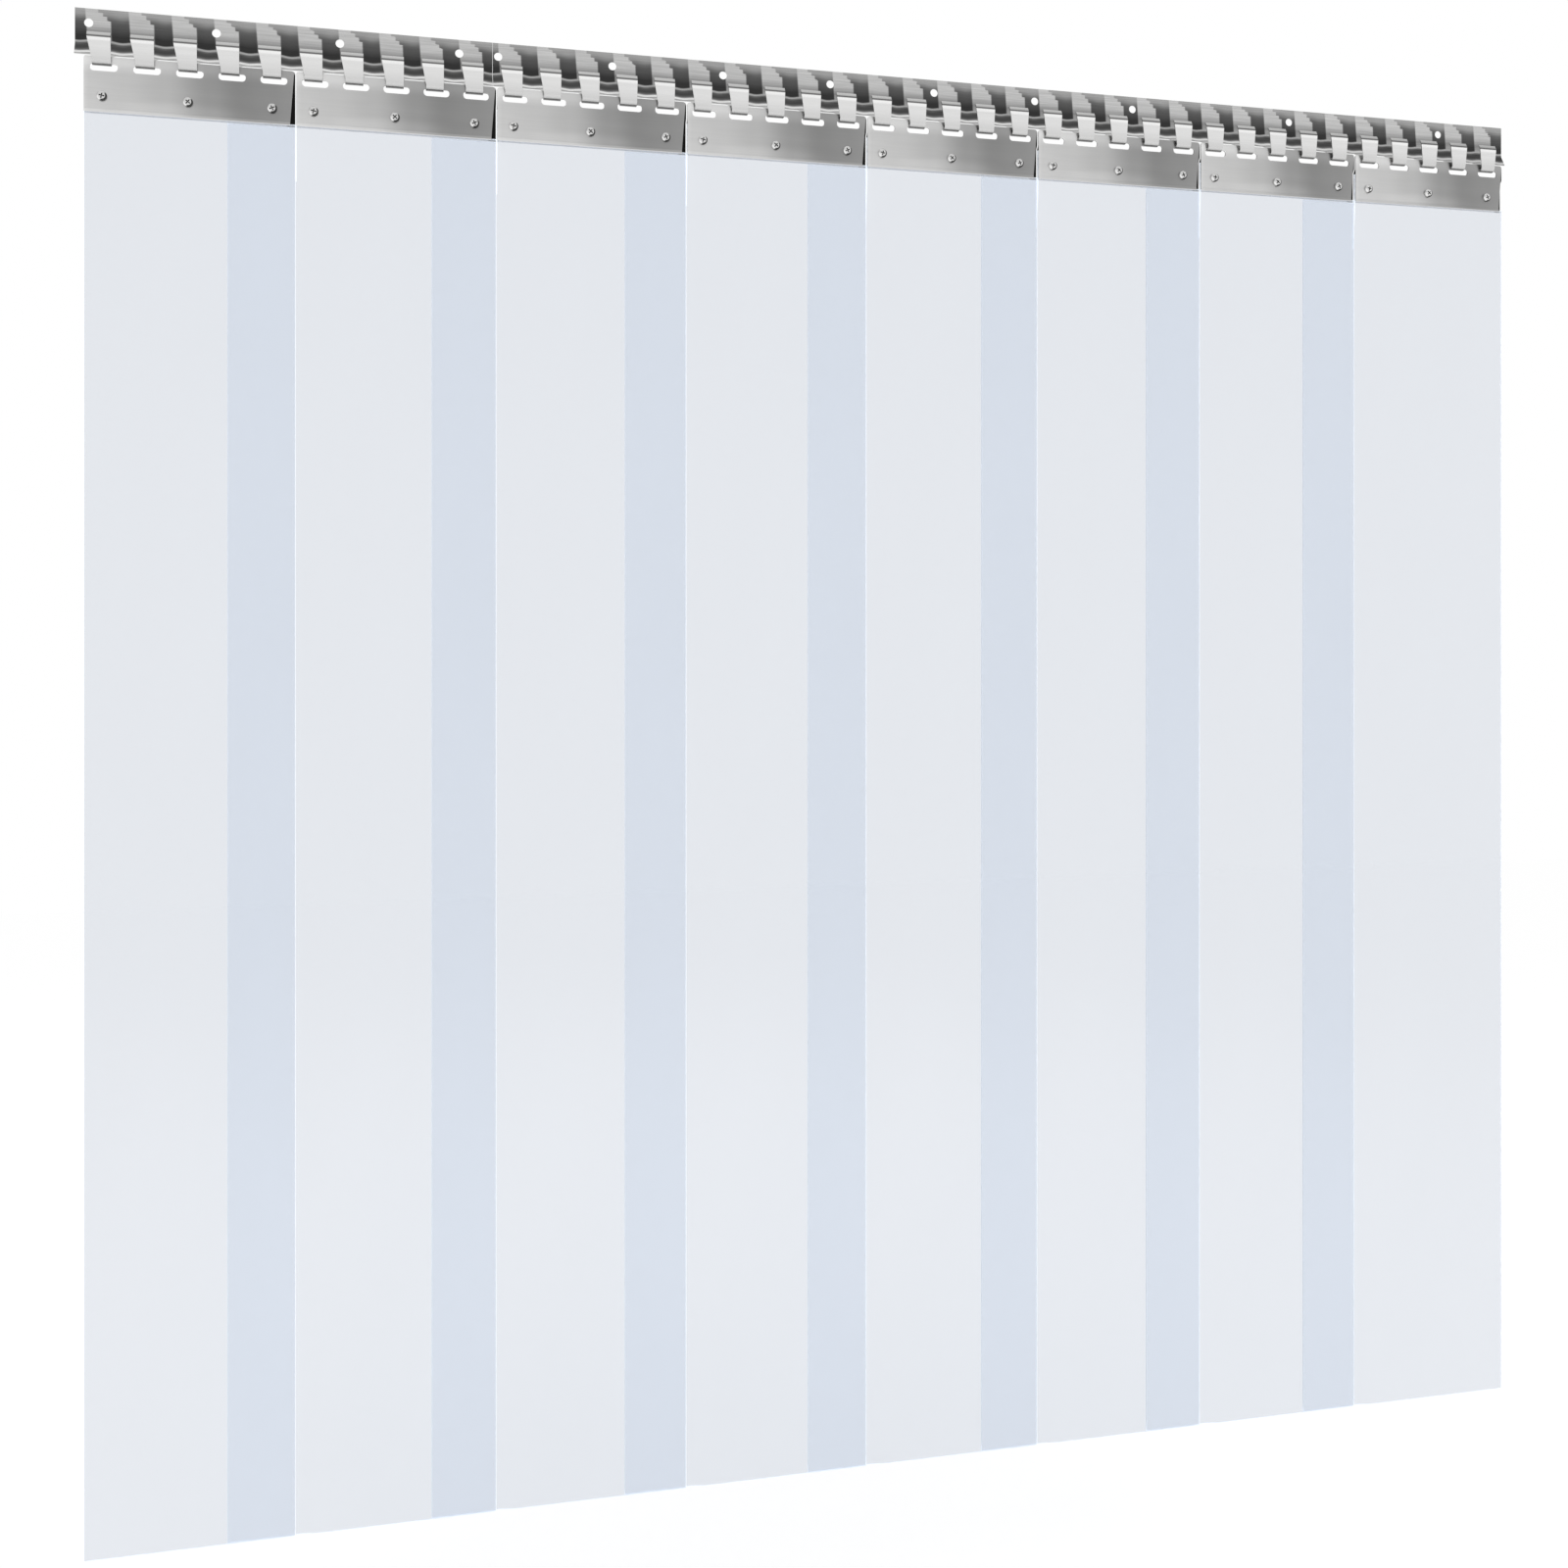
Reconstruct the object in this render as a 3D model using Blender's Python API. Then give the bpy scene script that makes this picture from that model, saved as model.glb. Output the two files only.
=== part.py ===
"""Clear PVC strip curtain on a stainless comb rail.

Metres, +Z up. X runs along the rail, the wall is at y = 0 and the curtain hangs on the -Y side of it.
The origin is on the rail's wall face, at half the curtain's width and at the height of the wall holes.
"""

import math

import bmesh
import bpy
from mathutils import Matrix, Vector

MM = 0.001
DEG = math.pi / 180

# The run of the curtain
PLATES = 8
HOOKS_PER_PLATE = 5
HOOK_PITCH = 45.2 * MM
FIRST_HOOK = 19.4 * MM
CLEARANCE = 0.3 * MM

# Comb rail, a bent sheet
RAIL_SHEET = 1.5 * MM
RAIL_TOP = 16 * MM
FLANGE_HEIGHT = 39.5 * MM
CREASE_ANGLE = 28.6 * DEG
CREASE_RADIUS = 4 * MM
LEDGE_LENGTH = 27.2 * MM
LEDGE_SOLID = 14 * MM
TROUGH_RADIUS = 4.6 * MM
TONGUE_LEAN = 8 * DEG
TONGUE_LENGTH = 24 * MM
LIP_ANGLE = 40 * DEG
LIP_RADIUS = 1 * MM
LIP_LENGTH = 5 * MM
TOOTH_ROOT = 20 * MM
TOOTH_TAPER = 5 * MM
NOTCH_RADIUS = 4 * MM
RAIL_LEFT_END = 11 * MM
RAIL_RIGHT_END = 12 * MM
RAIL_JOINT_GAP = 0.4 * MM
LEFT_SECTION_HOOKS = 10
WALL_HOLE = 9.6 * MM
WALL_HOLE_SHIFT = 16 * MM
WALL_HOLE_HOOKS = (1, 4, 7, 10, 11, 14, 17, 20, 23, 26, 29, 34, 39)

# Clamp plates
PLATE_SHEET = 1.2 * MM
PLATE_GAP = 1.2 * MM
BRIDGE_HEIGHT = 7.9 * MM
SLOT_HEIGHT = 8.4 * MM
SLOT_WIDTH = 29.3 * MM
SLOT_SHIFT = 2 * MM
SLOT_UPPER_CORNER = 3 * MM
SLOT_LOWER_CORNER = 4.1 * MM
PLATE_HEIGHT = 62.2 * MM
PLATE_CORNER = 3 * MM
FRONT_PLATE_SETBACK = 1.2 * MM
FRONT_PLATE_TAPER = 4.5 * MM
HEM_HEIGHT = 4 * MM
HEM_FLARE = 1.5 * MM
JOGGLE_DROP = 3 * MM
JOGGLE_HEIGHT = 5 * MM

# Screws and the bosses they are driven into
SCREW_HOOKS = (1, 3, 5)
SCREW_NAMES = ("left", "middle", "right")
SCREW_DROP = 44.2 * MM
SHANK = 6 * MM
HEAD = 11 * MM
HEAD_HEIGHT = 3.4 * MM
HEAD_EDGE = 1.6 * MM
HEAD_FLAT = 7 * MM
TIP_LENGTH = 1.2 * MM
RECESS_LENGTH = 5.6 * MM
RECESS_WIDTH = 1.5 * MM
RECESS_DEPTH = 1.8 * MM
BOSS = 10 * MM
BOSS_HEIGHT = 3 * MM

# Strips
STRIP = 3 * MM
STRIP_WIDTH = 300 * MM
STRIP_DROP = 1706 * MM
STRIP_TOP_MARGIN = 1 * MM
STRIP_SIDE_GAP = 0.8 * MM
STRIP_INSET = 6 * MM
INSET_COVER = 2 * MM
FLAP_MARGIN = 0.8 * MM
LAP_GAP = 0.8 * MM
LAP_BEND = 28 * MM
LAP_RELIEF = 60 * MM

# How finely the shapes are cut
OVERRUN = 1 * MM
SAME_PLACE = 0.001 * MM
CREASE_STEPS = 2
TROUGH_STEPS = 6
LIP_STEPS = 2
CORNER_STEPS = 2
NOTCH_STEPS = 3
BEND_STEPS = 4
HOLE_SIDES = 8
SCREW_SIDES = 10
SHARP_ANGLE = 50 * DEG

# Colour, roughness and metallic value of each material
FINISHES = {
    "rail_steel": ((0.68, 0.68, 0.67), 0.28, 1.0),
    "plate_steel": ((0.62, 0.62, 0.62), 0.35, 1.0),
    "screw_steel": ((0.72, 0.72, 0.72), 0.2, 1.0),
    "clear_pvc": ((0.79, 0.84, 0.9), 0.12, 0.0),
}

PLATE_PITCH = HOOKS_PER_PLATE * HOOK_PITCH
CURTAIN_WIDTH = PLATES * PLATE_PITCH
LEFT = -CURTAIN_WIDTH / 2


def material(name):
    colour, roughness, metallic = FINISHES[name]
    made = bpy.data.materials.new(name)
    made.use_nodes = True
    shader = made.node_tree.nodes["Principled BSDF"]
    shader.inputs["Base Color"].default_value = (*colour, 1)
    shader.inputs["Roughness"].default_value = roughness
    shader.inputs["Metallic"].default_value = metallic
    made.diffuse_color = (*colour, 1)
    return made


def add_object(name, mesh, parent=None, location=(0, 0, 0)):
    made = bpy.data.objects.new(name, mesh)
    bpy.context.scene.collection.objects.link(made)
    made.parent = parent
    made.location = location
    return made


def mesh_from(bm, name, finish):
    bmesh.ops.recalc_face_normals(bm, faces=bm.faces[:])
    mesh = bpy.data.meshes.new(name)
    bm.to_mesh(mesh)
    bm.free()
    mesh.materials.append(finish)
    mesh.shade_smooth()
    mesh.set_sharp_from_angle(angle=SHARP_ANGLE)
    return mesh


# Flat patterns


def arc(centre, radius, start, turn, steps):
    """Points of an arc in a flat pattern, both ends included."""
    angles = [start + turn * step / steps for step in range(steps + 1)]
    return [(centre[0] + radius * math.cos(a), centre[1] + radius * math.sin(a)) for a in angles]


def circle(centre, diameter, sides):
    half_side = math.pi / sides
    return arc(centre, diameter / 2, half_side, 2 * math.pi, sides)[:-1]


def rounded_box(left, right, bottom, top, upper, lower):
    """A box with one radius for its upper corners and another for its lower ones."""
    points = arc((right - upper, top - upper), upper, 0, 90 * DEG, CORNER_STEPS)
    points += arc((left + upper, top - upper), upper, 90 * DEG, 90 * DEG, CORNER_STEPS)
    points += arc((left + lower, bottom + lower), lower, 180 * DEG, 90 * DEG, CORNER_STEPS)
    points += arc((right - lower, bottom + lower), lower, 270 * DEG, 90 * DEG, CORNER_STEPS)
    return points


def flat_pattern(outline, holes):
    """The pattern's faces in the XY plane, with its holes left open."""
    bm = bmesh.new()
    edges = []
    for points in [outline, *holes]:
        verts = [bm.verts.new((x, along, 0)) for x, along in points]
        edges += [bm.edges.new(pair) for pair in zip(verts, verts[1:] + verts[:1])]
    bmesh.ops.triangle_fill(bm, edges=edges, use_beauty=True, normal=(0, 0, 1))
    return bm


def score(bm, axis, places):
    """Cuts the pattern's faces along lines, so that it can bend there."""
    for place in places:
        normal = Vector((axis == 0, axis == 1, 0))
        geometry = bm.verts[:] + bm.edges[:] + bm.faces[:]
        bmesh.ops.bisect_plane(
            bm, geom=geometry, plane_co=normal * place, plane_no=normal, dist=SAME_PLACE
        )


def bend(pattern, place, thickness):
    """The sheet of this thickness whose pattern point (x, along) goes to place(x, along, depth)."""
    bm = bmesh.new()
    near = {}
    far = {}
    for vert in pattern.verts:
        near[vert] = bm.verts.new(place(vert.co.x, vert.co.y, 0))
        far[vert] = bm.verts.new(place(vert.co.x, vert.co.y, thickness))
    for face in pattern.faces:
        bm.faces.new([near[vert] for vert in face.verts])
        bm.faces.new([far[vert] for vert in reversed(face.verts)])
    for edge in pattern.edges:
        if len(edge.link_faces) == 1:
            first, second = edge.verts
            bm.faces.new([near[first], near[second], far[second], far[first]])
    pattern.free()
    return bm


# Comb rail


def heading(angle):
    """Unit (y, z) along the rail's sheet: 0 is down, 90 degrees is forward and 180 degrees is up."""
    return Vector((-math.sin(angle), -math.cos(angle)))


def outward(angle):
    """Unit (y, z) through the sheet's thickness, away from the hollow of its bends."""
    return Vector((math.cos(angle), -math.sin(angle)))


def rail_pieces():
    """(name, length, turn, steps) of each straight and bend, from the top of the flange to the lip's tip."""
    crease_setback = CREASE_RADIUS * math.tan(CREASE_ANGLE / 2)
    trough_turn = math.pi - TONGUE_LEAN - CREASE_ANGLE
    return [
        ("flange", FLANGE_HEIGHT - crease_setback, 0, 1),
        ("crease", CREASE_RADIUS * CREASE_ANGLE, CREASE_ANGLE, CREASE_STEPS),
        ("ledge", LEDGE_LENGTH, 0, 1),
        ("trough", TROUGH_RADIUS * trough_turn, trough_turn, TROUGH_STEPS),
        ("tongue", TONGUE_LENGTH, 0, 1),
        ("lip bend", LIP_RADIUS * LIP_ANGLE, LIP_ANGLE, LIP_STEPS),
        ("lip", LIP_LENGTH, 0, 1),
    ]


def advance(point, angle, length, turn, distance):
    """The (y, z) point and the heading a distance into a piece of the rail's sheet."""
    if not turn:
        return point + heading(angle) * distance, angle
    radius = length / turn
    turned = angle + distance / radius
    return point + (outward(turned) - outward(angle)) * radius, turned


def rail_spans():
    """Each piece with where it starts: name -> (start, length, turn, steps, point, angle)."""
    spans = {}
    along = 0
    point = Vector((-RAIL_SHEET, RAIL_TOP))
    angle = 0
    for name, length, turn, steps in rail_pieces():
        spans[name] = (along, length, turn, steps, point, angle)
        point, angle = advance(point, angle, length, turn, length)
        along += length
    return spans


RAIL = rail_spans()


def start_of(name):
    return RAIL[name][0]


def end_of(name):
    return RAIL[name][0] + RAIL[name][1]


def on_rail(x, along, depth):
    """World place of a point of the rail's flat pattern."""
    reached = [span for span in RAIL.values() if span[0] <= along + SAME_PLACE]
    start, length, turn, steps, point, angle = reached[-1]
    place, angle = advance(point, angle, length, turn, along - start)
    place += outward(angle) * depth
    return x, place[0], place[1]


def trough_centre():
    """(y, z) of the line that the clamps swing on, the middle of the hooks' round bottom."""
    start, length, turn, steps, point, angle = RAIL["trough"]
    return point - outward(angle) * TROUGH_RADIUS


AXIS_Y, AXIS_Z = trough_centre()


def hook_x(hook):
    """World x of a hook's root, with hooks counted from 1 at the left."""
    return LEFT + FIRST_HOOK + (hook - 1) * HOOK_PITCH


def tooth_outline(centre):
    """One hook of the flat pattern, with the rounded inner corners of the notches on its two sides."""
    left = centre - TOOTH_ROOT / 2
    right = centre + TOOTH_ROOT / 2
    corner = start_of("ledge") + LEDGE_SOLID + NOTCH_RADIUS
    left_corner = (left - NOTCH_RADIUS, corner)
    right_corner = (right + NOTCH_RADIUS, corner)
    return [
        *arc(left_corner, NOTCH_RADIUS, -90 * DEG, 90 * DEG, NOTCH_STEPS),
        (left, start_of("tongue")),
        (left - TOOTH_TAPER, end_of("tongue")),
        (left - TOOTH_TAPER, end_of("lip")),
        (right, end_of("lip")),
        *arc(right_corner, NOTCH_RADIUS, 180 * DEG, 90 * DEG, NOTCH_STEPS),
    ]


def rail_section(name, left, right, hooks, finish):
    notch = start_of("ledge") + LEDGE_SOLID
    outline = [(left, 0), (left, notch)]
    for hook in hooks:
        outline += tooth_outline(hook_x(hook))
    outline += [(right, notch), (right, 0)]
    drilled = [hook_x(hook) - WALL_HOLE_SHIFT for hook in WALL_HOLE_HOOKS if hook in hooks]
    holes = [circle((x, RAIL_TOP), WALL_HOLE, HOLE_SIDES) for x in drilled]
    pattern = flat_pattern(outline, holes)
    for start, length, turn, steps, point, angle in RAIL.values():
        score(pattern, 1, [start + length * step / steps for step in range(1, steps + 1)])
    return add_object(name, mesh_from(bend(pattern, on_rail, RAIL_SHEET), name, finish))


def build_rail(finish):
    hooks = PLATES * HOOKS_PER_PLATE
    joint = hook_x(LEFT_SECTION_HOOKS) + HOOK_PITCH / 2
    left_end = LEFT - RAIL_LEFT_END
    right_end = LEFT + CURTAIN_WIDTH + RAIL_RIGHT_END
    left_hooks = range(1, LEFT_SECTION_HOOKS + 1)
    right_hooks = range(LEFT_SECTION_HOOKS + 1, hooks + 1)
    rail_section("rail_left", left_end, joint - RAIL_JOINT_GAP / 2, left_hooks, finish)
    rail_section("rail_right", joint + RAIL_JOINT_GAP / 2, right_end, right_hooks, finish)


# Clamp plates. Their x runs from the clamp's left end, and y and z from the line they swing on.

BRIDGE_DEPTH = 2 * PLATE_SHEET + CLEARANCE
FRONT_FACE = -BRIDGE_DEPTH / 2
STRIP_FACE = FRONT_FACE + PLATE_SHEET + CLEARANCE
REAR_TOP_FACE = BRIDGE_DEPTH / 2 - PLATE_SHEET
REAR_FACE = STRIP_FACE + STRIP + CLEARANCE
PLATE_TOP = BRIDGE_HEIGHT / 2
PLATE_BOTTOM = PLATE_TOP - PLATE_HEIGHT
SLOT_BOTTOM = -BRIDGE_HEIGHT / 2 - SLOT_HEIGHT
JOGGLE_TOP = SLOT_BOTTOM - JOGGLE_DROP
JOGGLE_BOTTOM = JOGGLE_TOP - JOGGLE_HEIGHT
HEM_TOP = PLATE_BOTTOM + HEM_HEIGHT
SCREW_HEIGHT = PLATE_TOP - SCREW_DROP


def ramp(value, start, end):
    """0 before start, 1 past end, and straight between them."""
    return min(1, max(0, (value - start) / (end - start)))


def ease(share):
    """A smooth step from 0 to 1."""
    return (1 - math.cos(math.pi * share)) / 2


def screw_places():
    return [FIRST_HOOK + (hook - 1) * HOOK_PITCH for hook in SCREW_HOOKS]


def hem(z):
    """How far the hem stands out at this height."""
    return HEM_FLARE * ramp(z, HEM_TOP, PLATE_BOTTOM)


def on_front_plate(x, z, depth):
    return x, FRONT_FACE - hem(z) + depth, z


def on_rear_plate(x, z, depth):
    joggle = (REAR_FACE - REAR_TOP_FACE) * ramp(z, JOGGLE_TOP, JOGGLE_BOTTOM)
    return x, REAR_TOP_FACE + joggle + hem(z) + depth, z


def slots():
    half = SLOT_WIDTH / 2
    top = -BRIDGE_HEIGHT / 2
    corners = (SLOT_UPPER_CORNER, SLOT_LOWER_CORNER)
    made = []
    for hook in range(HOOKS_PER_PLATE):
        x = FIRST_HOOK + SLOT_SHIFT + hook * HOOK_PITCH
        made.append(rounded_box(x - half, x + half, SLOT_BOTTOM, top, *corners))
    return made


def plate_outline(setback, taper):
    left = PLATE_GAP / 2
    right = PLATE_PITCH - PLATE_GAP / 2 - setback
    inner = PLATE_TOP - PLATE_CORNER
    return [
        (left, PLATE_BOTTOM),
        (right - taper, PLATE_BOTTOM),
        *arc((right - PLATE_CORNER, inner), PLATE_CORNER, 0, 90 * DEG, CORNER_STEPS),
        *arc((left + PLATE_CORNER, inner), PLATE_CORNER, 90 * DEG, 90 * DEG, CORNER_STEPS),
    ]


def shank_holes():
    width = SHANK + 2 * CLEARANCE
    return [circle((x, SCREW_HEIGHT), width, HOLE_SIDES) for x in screw_places()]


def front_plate_mesh(finish):
    pattern = flat_pattern(plate_outline(FRONT_PLATE_SETBACK, FRONT_PLATE_TAPER), slots() + shank_holes())
    score(pattern, 1, [HEM_TOP])
    return mesh_from(bend(pattern, on_front_plate, PLATE_SHEET), "front_plate", finish)


def boss_mesh(finish):
    """The three bosses, from inside the rear plate's sheet to their ends."""
    bm = bmesh.new()
    start = REAR_FACE + PLATE_SHEET / 2
    end = REAR_FACE + PLATE_SHEET + BOSS_HEIGHT
    for x in screw_places():
        add_rod(bm, x, start, end, BOSS)
    return mesh_from(bm, "bosses", finish)


def shank_cutter_mesh(finish):
    bm = bmesh.new()
    start = REAR_FACE - OVERRUN
    end = REAR_FACE + PLATE_SHEET + BOSS_HEIGHT + OVERRUN
    for x in screw_places():
        add_rod(bm, x, start, end, SHANK + 2 * CLEARANCE)
    return mesh_from(bm, "shank_holes", finish)


def add_rod(bm, x, start, end, diameter):
    """A round rod along Y at the screws' height."""
    points = circle((x, SCREW_HEIGHT), diameter, HOLE_SIDES)
    near, far = [[bm.verts.new((px, y, pz)) for px, pz in points] for y in (start, end)]
    bm.faces.new(near)
    bm.faces.new(far[::-1])
    for index in range(HOLE_SIDES):
        after = (index + 1) % HOLE_SIDES
        bm.faces.new([near[index], far[index], far[after], near[after]])


def with_booleans(mesh, steps):
    """The mesh after each (operation, other mesh) in turn."""
    base = add_object("base", mesh)
    helpers = []
    for operation, other in steps:
        helper = add_object("helper", other)
        helpers.append(helper)
        modifier = base.modifiers.new(operation, "BOOLEAN")
        modifier.operation = operation
        modifier.object = helper
        modifier.solver = "EXACT"
    graph = bpy.context.evaluated_depsgraph_get()
    made = bpy.data.meshes.new_from_object(base.evaluated_get(graph))
    made.name = mesh.name
    for helper in [base, *helpers]:
        bpy.data.objects.remove(helper)
    return made


def rear_plate_mesh(finish):
    pattern = flat_pattern(plate_outline(0, 0), slots())
    score(pattern, 1, [JOGGLE_TOP, JOGGLE_BOTTOM, HEM_TOP])
    sheet = mesh_from(bend(pattern, on_rear_plate, PLATE_SHEET), "rear_plate", finish)
    steps = [("UNION", boss_mesh(finish)), ("DIFFERENCE", shank_cutter_mesh(finish))]
    return with_booleans(sheet, steps)


# Screws


def turned_mesh(name, profile, sides, finish):
    """A body turned about Y from (radius, y) points."""
    bm = bmesh.new()
    rings = []
    for radius, y in profile:
        ring = circle((0, 0), 2 * radius, sides)
        rings.append([bm.verts.new((x, y, z)) for x, z in ring])
    for ring, after in zip(rings, rings[1:]):
        for index in range(sides):
            other = (index + 1) % sides
            bm.faces.new([ring[index], ring[other], after[other], after[index]])
    bm.faces.new(rings[0])
    bm.faces.new(rings[-1][::-1])
    return mesh_from(bm, name, finish)


def recess_meshes(finish):
    """The two bars of the cross that is cut into a screw's head."""
    top = -CLEARANCE - HEAD_HEIGHT
    bars = []
    for length, width in ((RECESS_LENGTH, RECESS_WIDTH), (RECESS_WIDTH, RECESS_LENGTH)):
        bm = bmesh.new()
        scale = Matrix.Diagonal((length, 2 * RECESS_DEPTH, width, 1))
        bmesh.ops.create_cube(bm, size=1, matrix=Matrix.Translation((0, top, 0)) @ scale)
        bars.append(mesh_from(bm, "recess", finish))
    return bars


def screw_mesh(finish):
    under = -CLEARANCE
    tip = REAR_FACE - FRONT_FACE + PLATE_SHEET + BOSS_HEIGHT + TIP_LENGTH
    profile = [
        (HEAD_FLAT / 2, under - HEAD_HEIGHT),
        (HEAD / 2, under - HEAD_EDGE),
        (HEAD / 2, under),
        (SHANK / 2, under),
        (SHANK / 2, tip),
    ]
    body = turned_mesh("screw", profile, SCREW_SIDES, finish)
    made = with_booleans(body, [("DIFFERENCE", bar) for bar in recess_meshes(finish)])
    made.shade_smooth()
    made.set_sharp_from_angle(angle=SHARP_ANGLE)
    return made


# Strips

STRIP_TOP = JOGGLE_BOTTOM - STRIP_TOP_MARGIN
STRIP_BOTTOM = -STRIP_DROP - AXIS_Z
STRIP_LEFT = STRIP_SIDE_GAP / 2
STRIP_RIGHT = PLATE_PITCH - STRIP_SIDE_GAP / 2
FLAP_LEFT = STRIP_RIGHT - STRIP_WIDTH
FLAP_TOP = PLATE_BOTTOM - FLAP_MARGIN
LAP = STRIP + LAP_GAP


def on_strip(x, z, depth):
    """The flap lies behind the strip on its left, and the sheet bends forward to the clamp beside it."""
    back = 1 - ease(ramp(x, STRIP_LEFT, STRIP_LEFT + LAP_BEND))
    if x > STRIP_LEFT - SAME_PLACE:
        back *= ease(ramp(z, FLAP_TOP, FLAP_TOP - LAP_RELIEF))
    return x, STRIP_FACE + LAP * back + depth, z


def on_first_strip(x, z, depth):
    return x, STRIP_FACE + depth, z


def strip_outline(flap):
    """The clamped top is narrower at its right, so that the plates cover it."""
    top_right = STRIP_RIGHT - STRIP_INSET
    shoulder = PLATE_BOTTOM + INSET_COVER
    points = [
        (STRIP_LEFT, STRIP_TOP),
        (top_right, STRIP_TOP),
        (top_right, shoulder),
        (STRIP_RIGHT, shoulder),
        (STRIP_RIGHT, STRIP_BOTTOM),
    ]
    if not flap:
        return [*points, (STRIP_LEFT, STRIP_BOTTOM)]
    relief_end = FLAP_TOP - LAP_RELIEF
    flap_right = STRIP_LEFT - STRIP_SIDE_GAP
    return [
        *points,
        (FLAP_LEFT, STRIP_BOTTOM),
        (FLAP_LEFT, FLAP_TOP),
        (flap_right, FLAP_TOP),
        (flap_right, relief_end),
        (STRIP_LEFT, relief_end),
    ]


def strip_mesh(name, flap, finish):
    pattern = flat_pattern(strip_outline(flap), shank_holes())
    if flap:
        steps = range(BEND_STEPS + 1)
        score(pattern, 0, [STRIP_LEFT + LAP_BEND * step / BEND_STEPS for step in steps])
        score(pattern, 1, [FLAP_TOP - LAP_RELIEF * step / BEND_STEPS for step in steps])
    place = on_strip if flap else on_first_strip
    return mesh_from(bend(pattern, place, STRIP), name, finish)


# The clamps, each with its strip and screws on an empty that lies on the line it swings on


def build_clamps(finishes):
    plate_finish = finishes["plate_steel"]
    front = front_plate_mesh(plate_finish)
    rear = rear_plate_mesh(plate_finish)
    screw = screw_mesh(finishes["screw_steel"])
    first_strip = strip_mesh("first_strip", False, finishes["clear_pvc"])
    lapped_strip = strip_mesh("lapped_strip", True, finishes["clear_pvc"])
    for index in range(PLATES):
        number = index + 1
        pivot_place = (LEFT + index * PLATE_PITCH, AXIS_Y, AXIS_Z)
        pivot = add_object(f"clamp_{number}_pivot", None, None, pivot_place)
        add_object(f"front_plate_{number}", front, pivot)
        add_object(f"rear_plate_{number}", rear, pivot)
        add_object(f"strip_{number}", lapped_strip if index else first_strip, pivot)
        for name, x in zip(SCREW_NAMES, screw_places()):
            add_object(f"screw_{number}_{name}", screw, pivot, (x, FRONT_FACE, SCREW_HEIGHT))


def main():
    for old in list(bpy.data.objects):
        bpy.data.objects.remove(old)
    finishes = {name: material(name) for name in FINISHES}
    build_rail(finishes["rail_steel"])
    build_clamps(finishes)


main()
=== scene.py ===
"""Looks of the clear PVC strip curtain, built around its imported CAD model.

Metres, +Z up. X runs along the rail, the wall is at y = 0 and the curtain hangs on its -Y side.
Sheet metal and strips are cut as flat patterns with rounded edges and then bent into place.
"""

import math
from collections import namedtuple

import bmesh
import bpy
from mathutils import Matrix, Vector


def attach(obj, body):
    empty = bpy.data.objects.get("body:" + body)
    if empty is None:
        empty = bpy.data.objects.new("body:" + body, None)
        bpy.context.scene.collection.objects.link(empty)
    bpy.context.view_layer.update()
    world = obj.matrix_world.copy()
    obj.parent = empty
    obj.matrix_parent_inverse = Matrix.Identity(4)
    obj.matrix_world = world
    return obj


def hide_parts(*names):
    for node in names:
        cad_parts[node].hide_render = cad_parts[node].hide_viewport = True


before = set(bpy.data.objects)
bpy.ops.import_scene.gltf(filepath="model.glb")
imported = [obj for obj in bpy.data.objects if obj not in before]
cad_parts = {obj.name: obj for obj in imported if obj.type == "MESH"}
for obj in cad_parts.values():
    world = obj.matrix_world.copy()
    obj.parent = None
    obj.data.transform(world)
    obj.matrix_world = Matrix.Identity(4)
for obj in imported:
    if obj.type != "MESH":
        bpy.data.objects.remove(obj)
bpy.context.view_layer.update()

MM = 0.001
DEG = math.pi / 180

# The run of the curtain. These sizes are the CAD source's, and so are the rail's, plates' and strips'.
PLATES = 8
HOOKS_PER_PLATE = 5
HOOK_PITCH = 45.2 * MM
FIRST_HOOK = 19.4 * MM
CLEARANCE = 0.3 * MM

# Comb rail
RAIL_SHEET = 1.5 * MM
RAIL_TOP = 16 * MM
FLANGE_HEIGHT = 39.5 * MM
CREASE_ANGLE = 28.6 * DEG
CREASE_RADIUS = 4 * MM
LEDGE_LENGTH = 27.2 * MM
LEDGE_SOLID = 14 * MM
TROUGH_RADIUS = 4.6 * MM
TONGUE_LEAN = 8 * DEG
TONGUE_LENGTH = 24 * MM
LIP_ANGLE = 40 * DEG
LIP_RADIUS = 1 * MM
LIP_LENGTH = 5 * MM
TOOTH_ROOT = 20 * MM
TOOTH_TAPER = 5 * MM
NOTCH_RADIUS = 4 * MM
RAIL_LEFT_END = 11 * MM
RAIL_RIGHT_END = 12 * MM
RAIL_JOINT_GAP = 0.4 * MM
LEFT_SECTION_HOOKS = 10
WALL_HOLE = 9.6 * MM
WALL_HOLE_SHIFT = 16 * MM
WALL_HOLE_HOOKS = (1, 4, 7, 10, 11, 14, 17, 20, 23, 26, 29, 34, 39)

# Clamp plates
PLATE_SHEET = 1.2 * MM
PLATE_GAP = 1.2 * MM
BRIDGE_HEIGHT = 7.9 * MM
SLOT_HEIGHT = 8.4 * MM
SLOT_WIDTH = 29.3 * MM
SLOT_SHIFT = 2 * MM
SLOT_UPPER_CORNER = 3 * MM
SLOT_LOWER_CORNER = 4.1 * MM
PLATE_HEIGHT = 62.2 * MM
PLATE_CORNER = 3 * MM
FRONT_PLATE_SETBACK = 1.2 * MM
FRONT_PLATE_TAPER = 4.5 * MM
HEM_HEIGHT = 4 * MM
HEM_FLARE = 1.5 * MM
HEM_ROUNDING = 0.7 * MM
JOGGLE_DROP = 3 * MM
JOGGLE_HEIGHT = 5 * MM
JOGGLE_ROUNDING = 1.2 * MM

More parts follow.
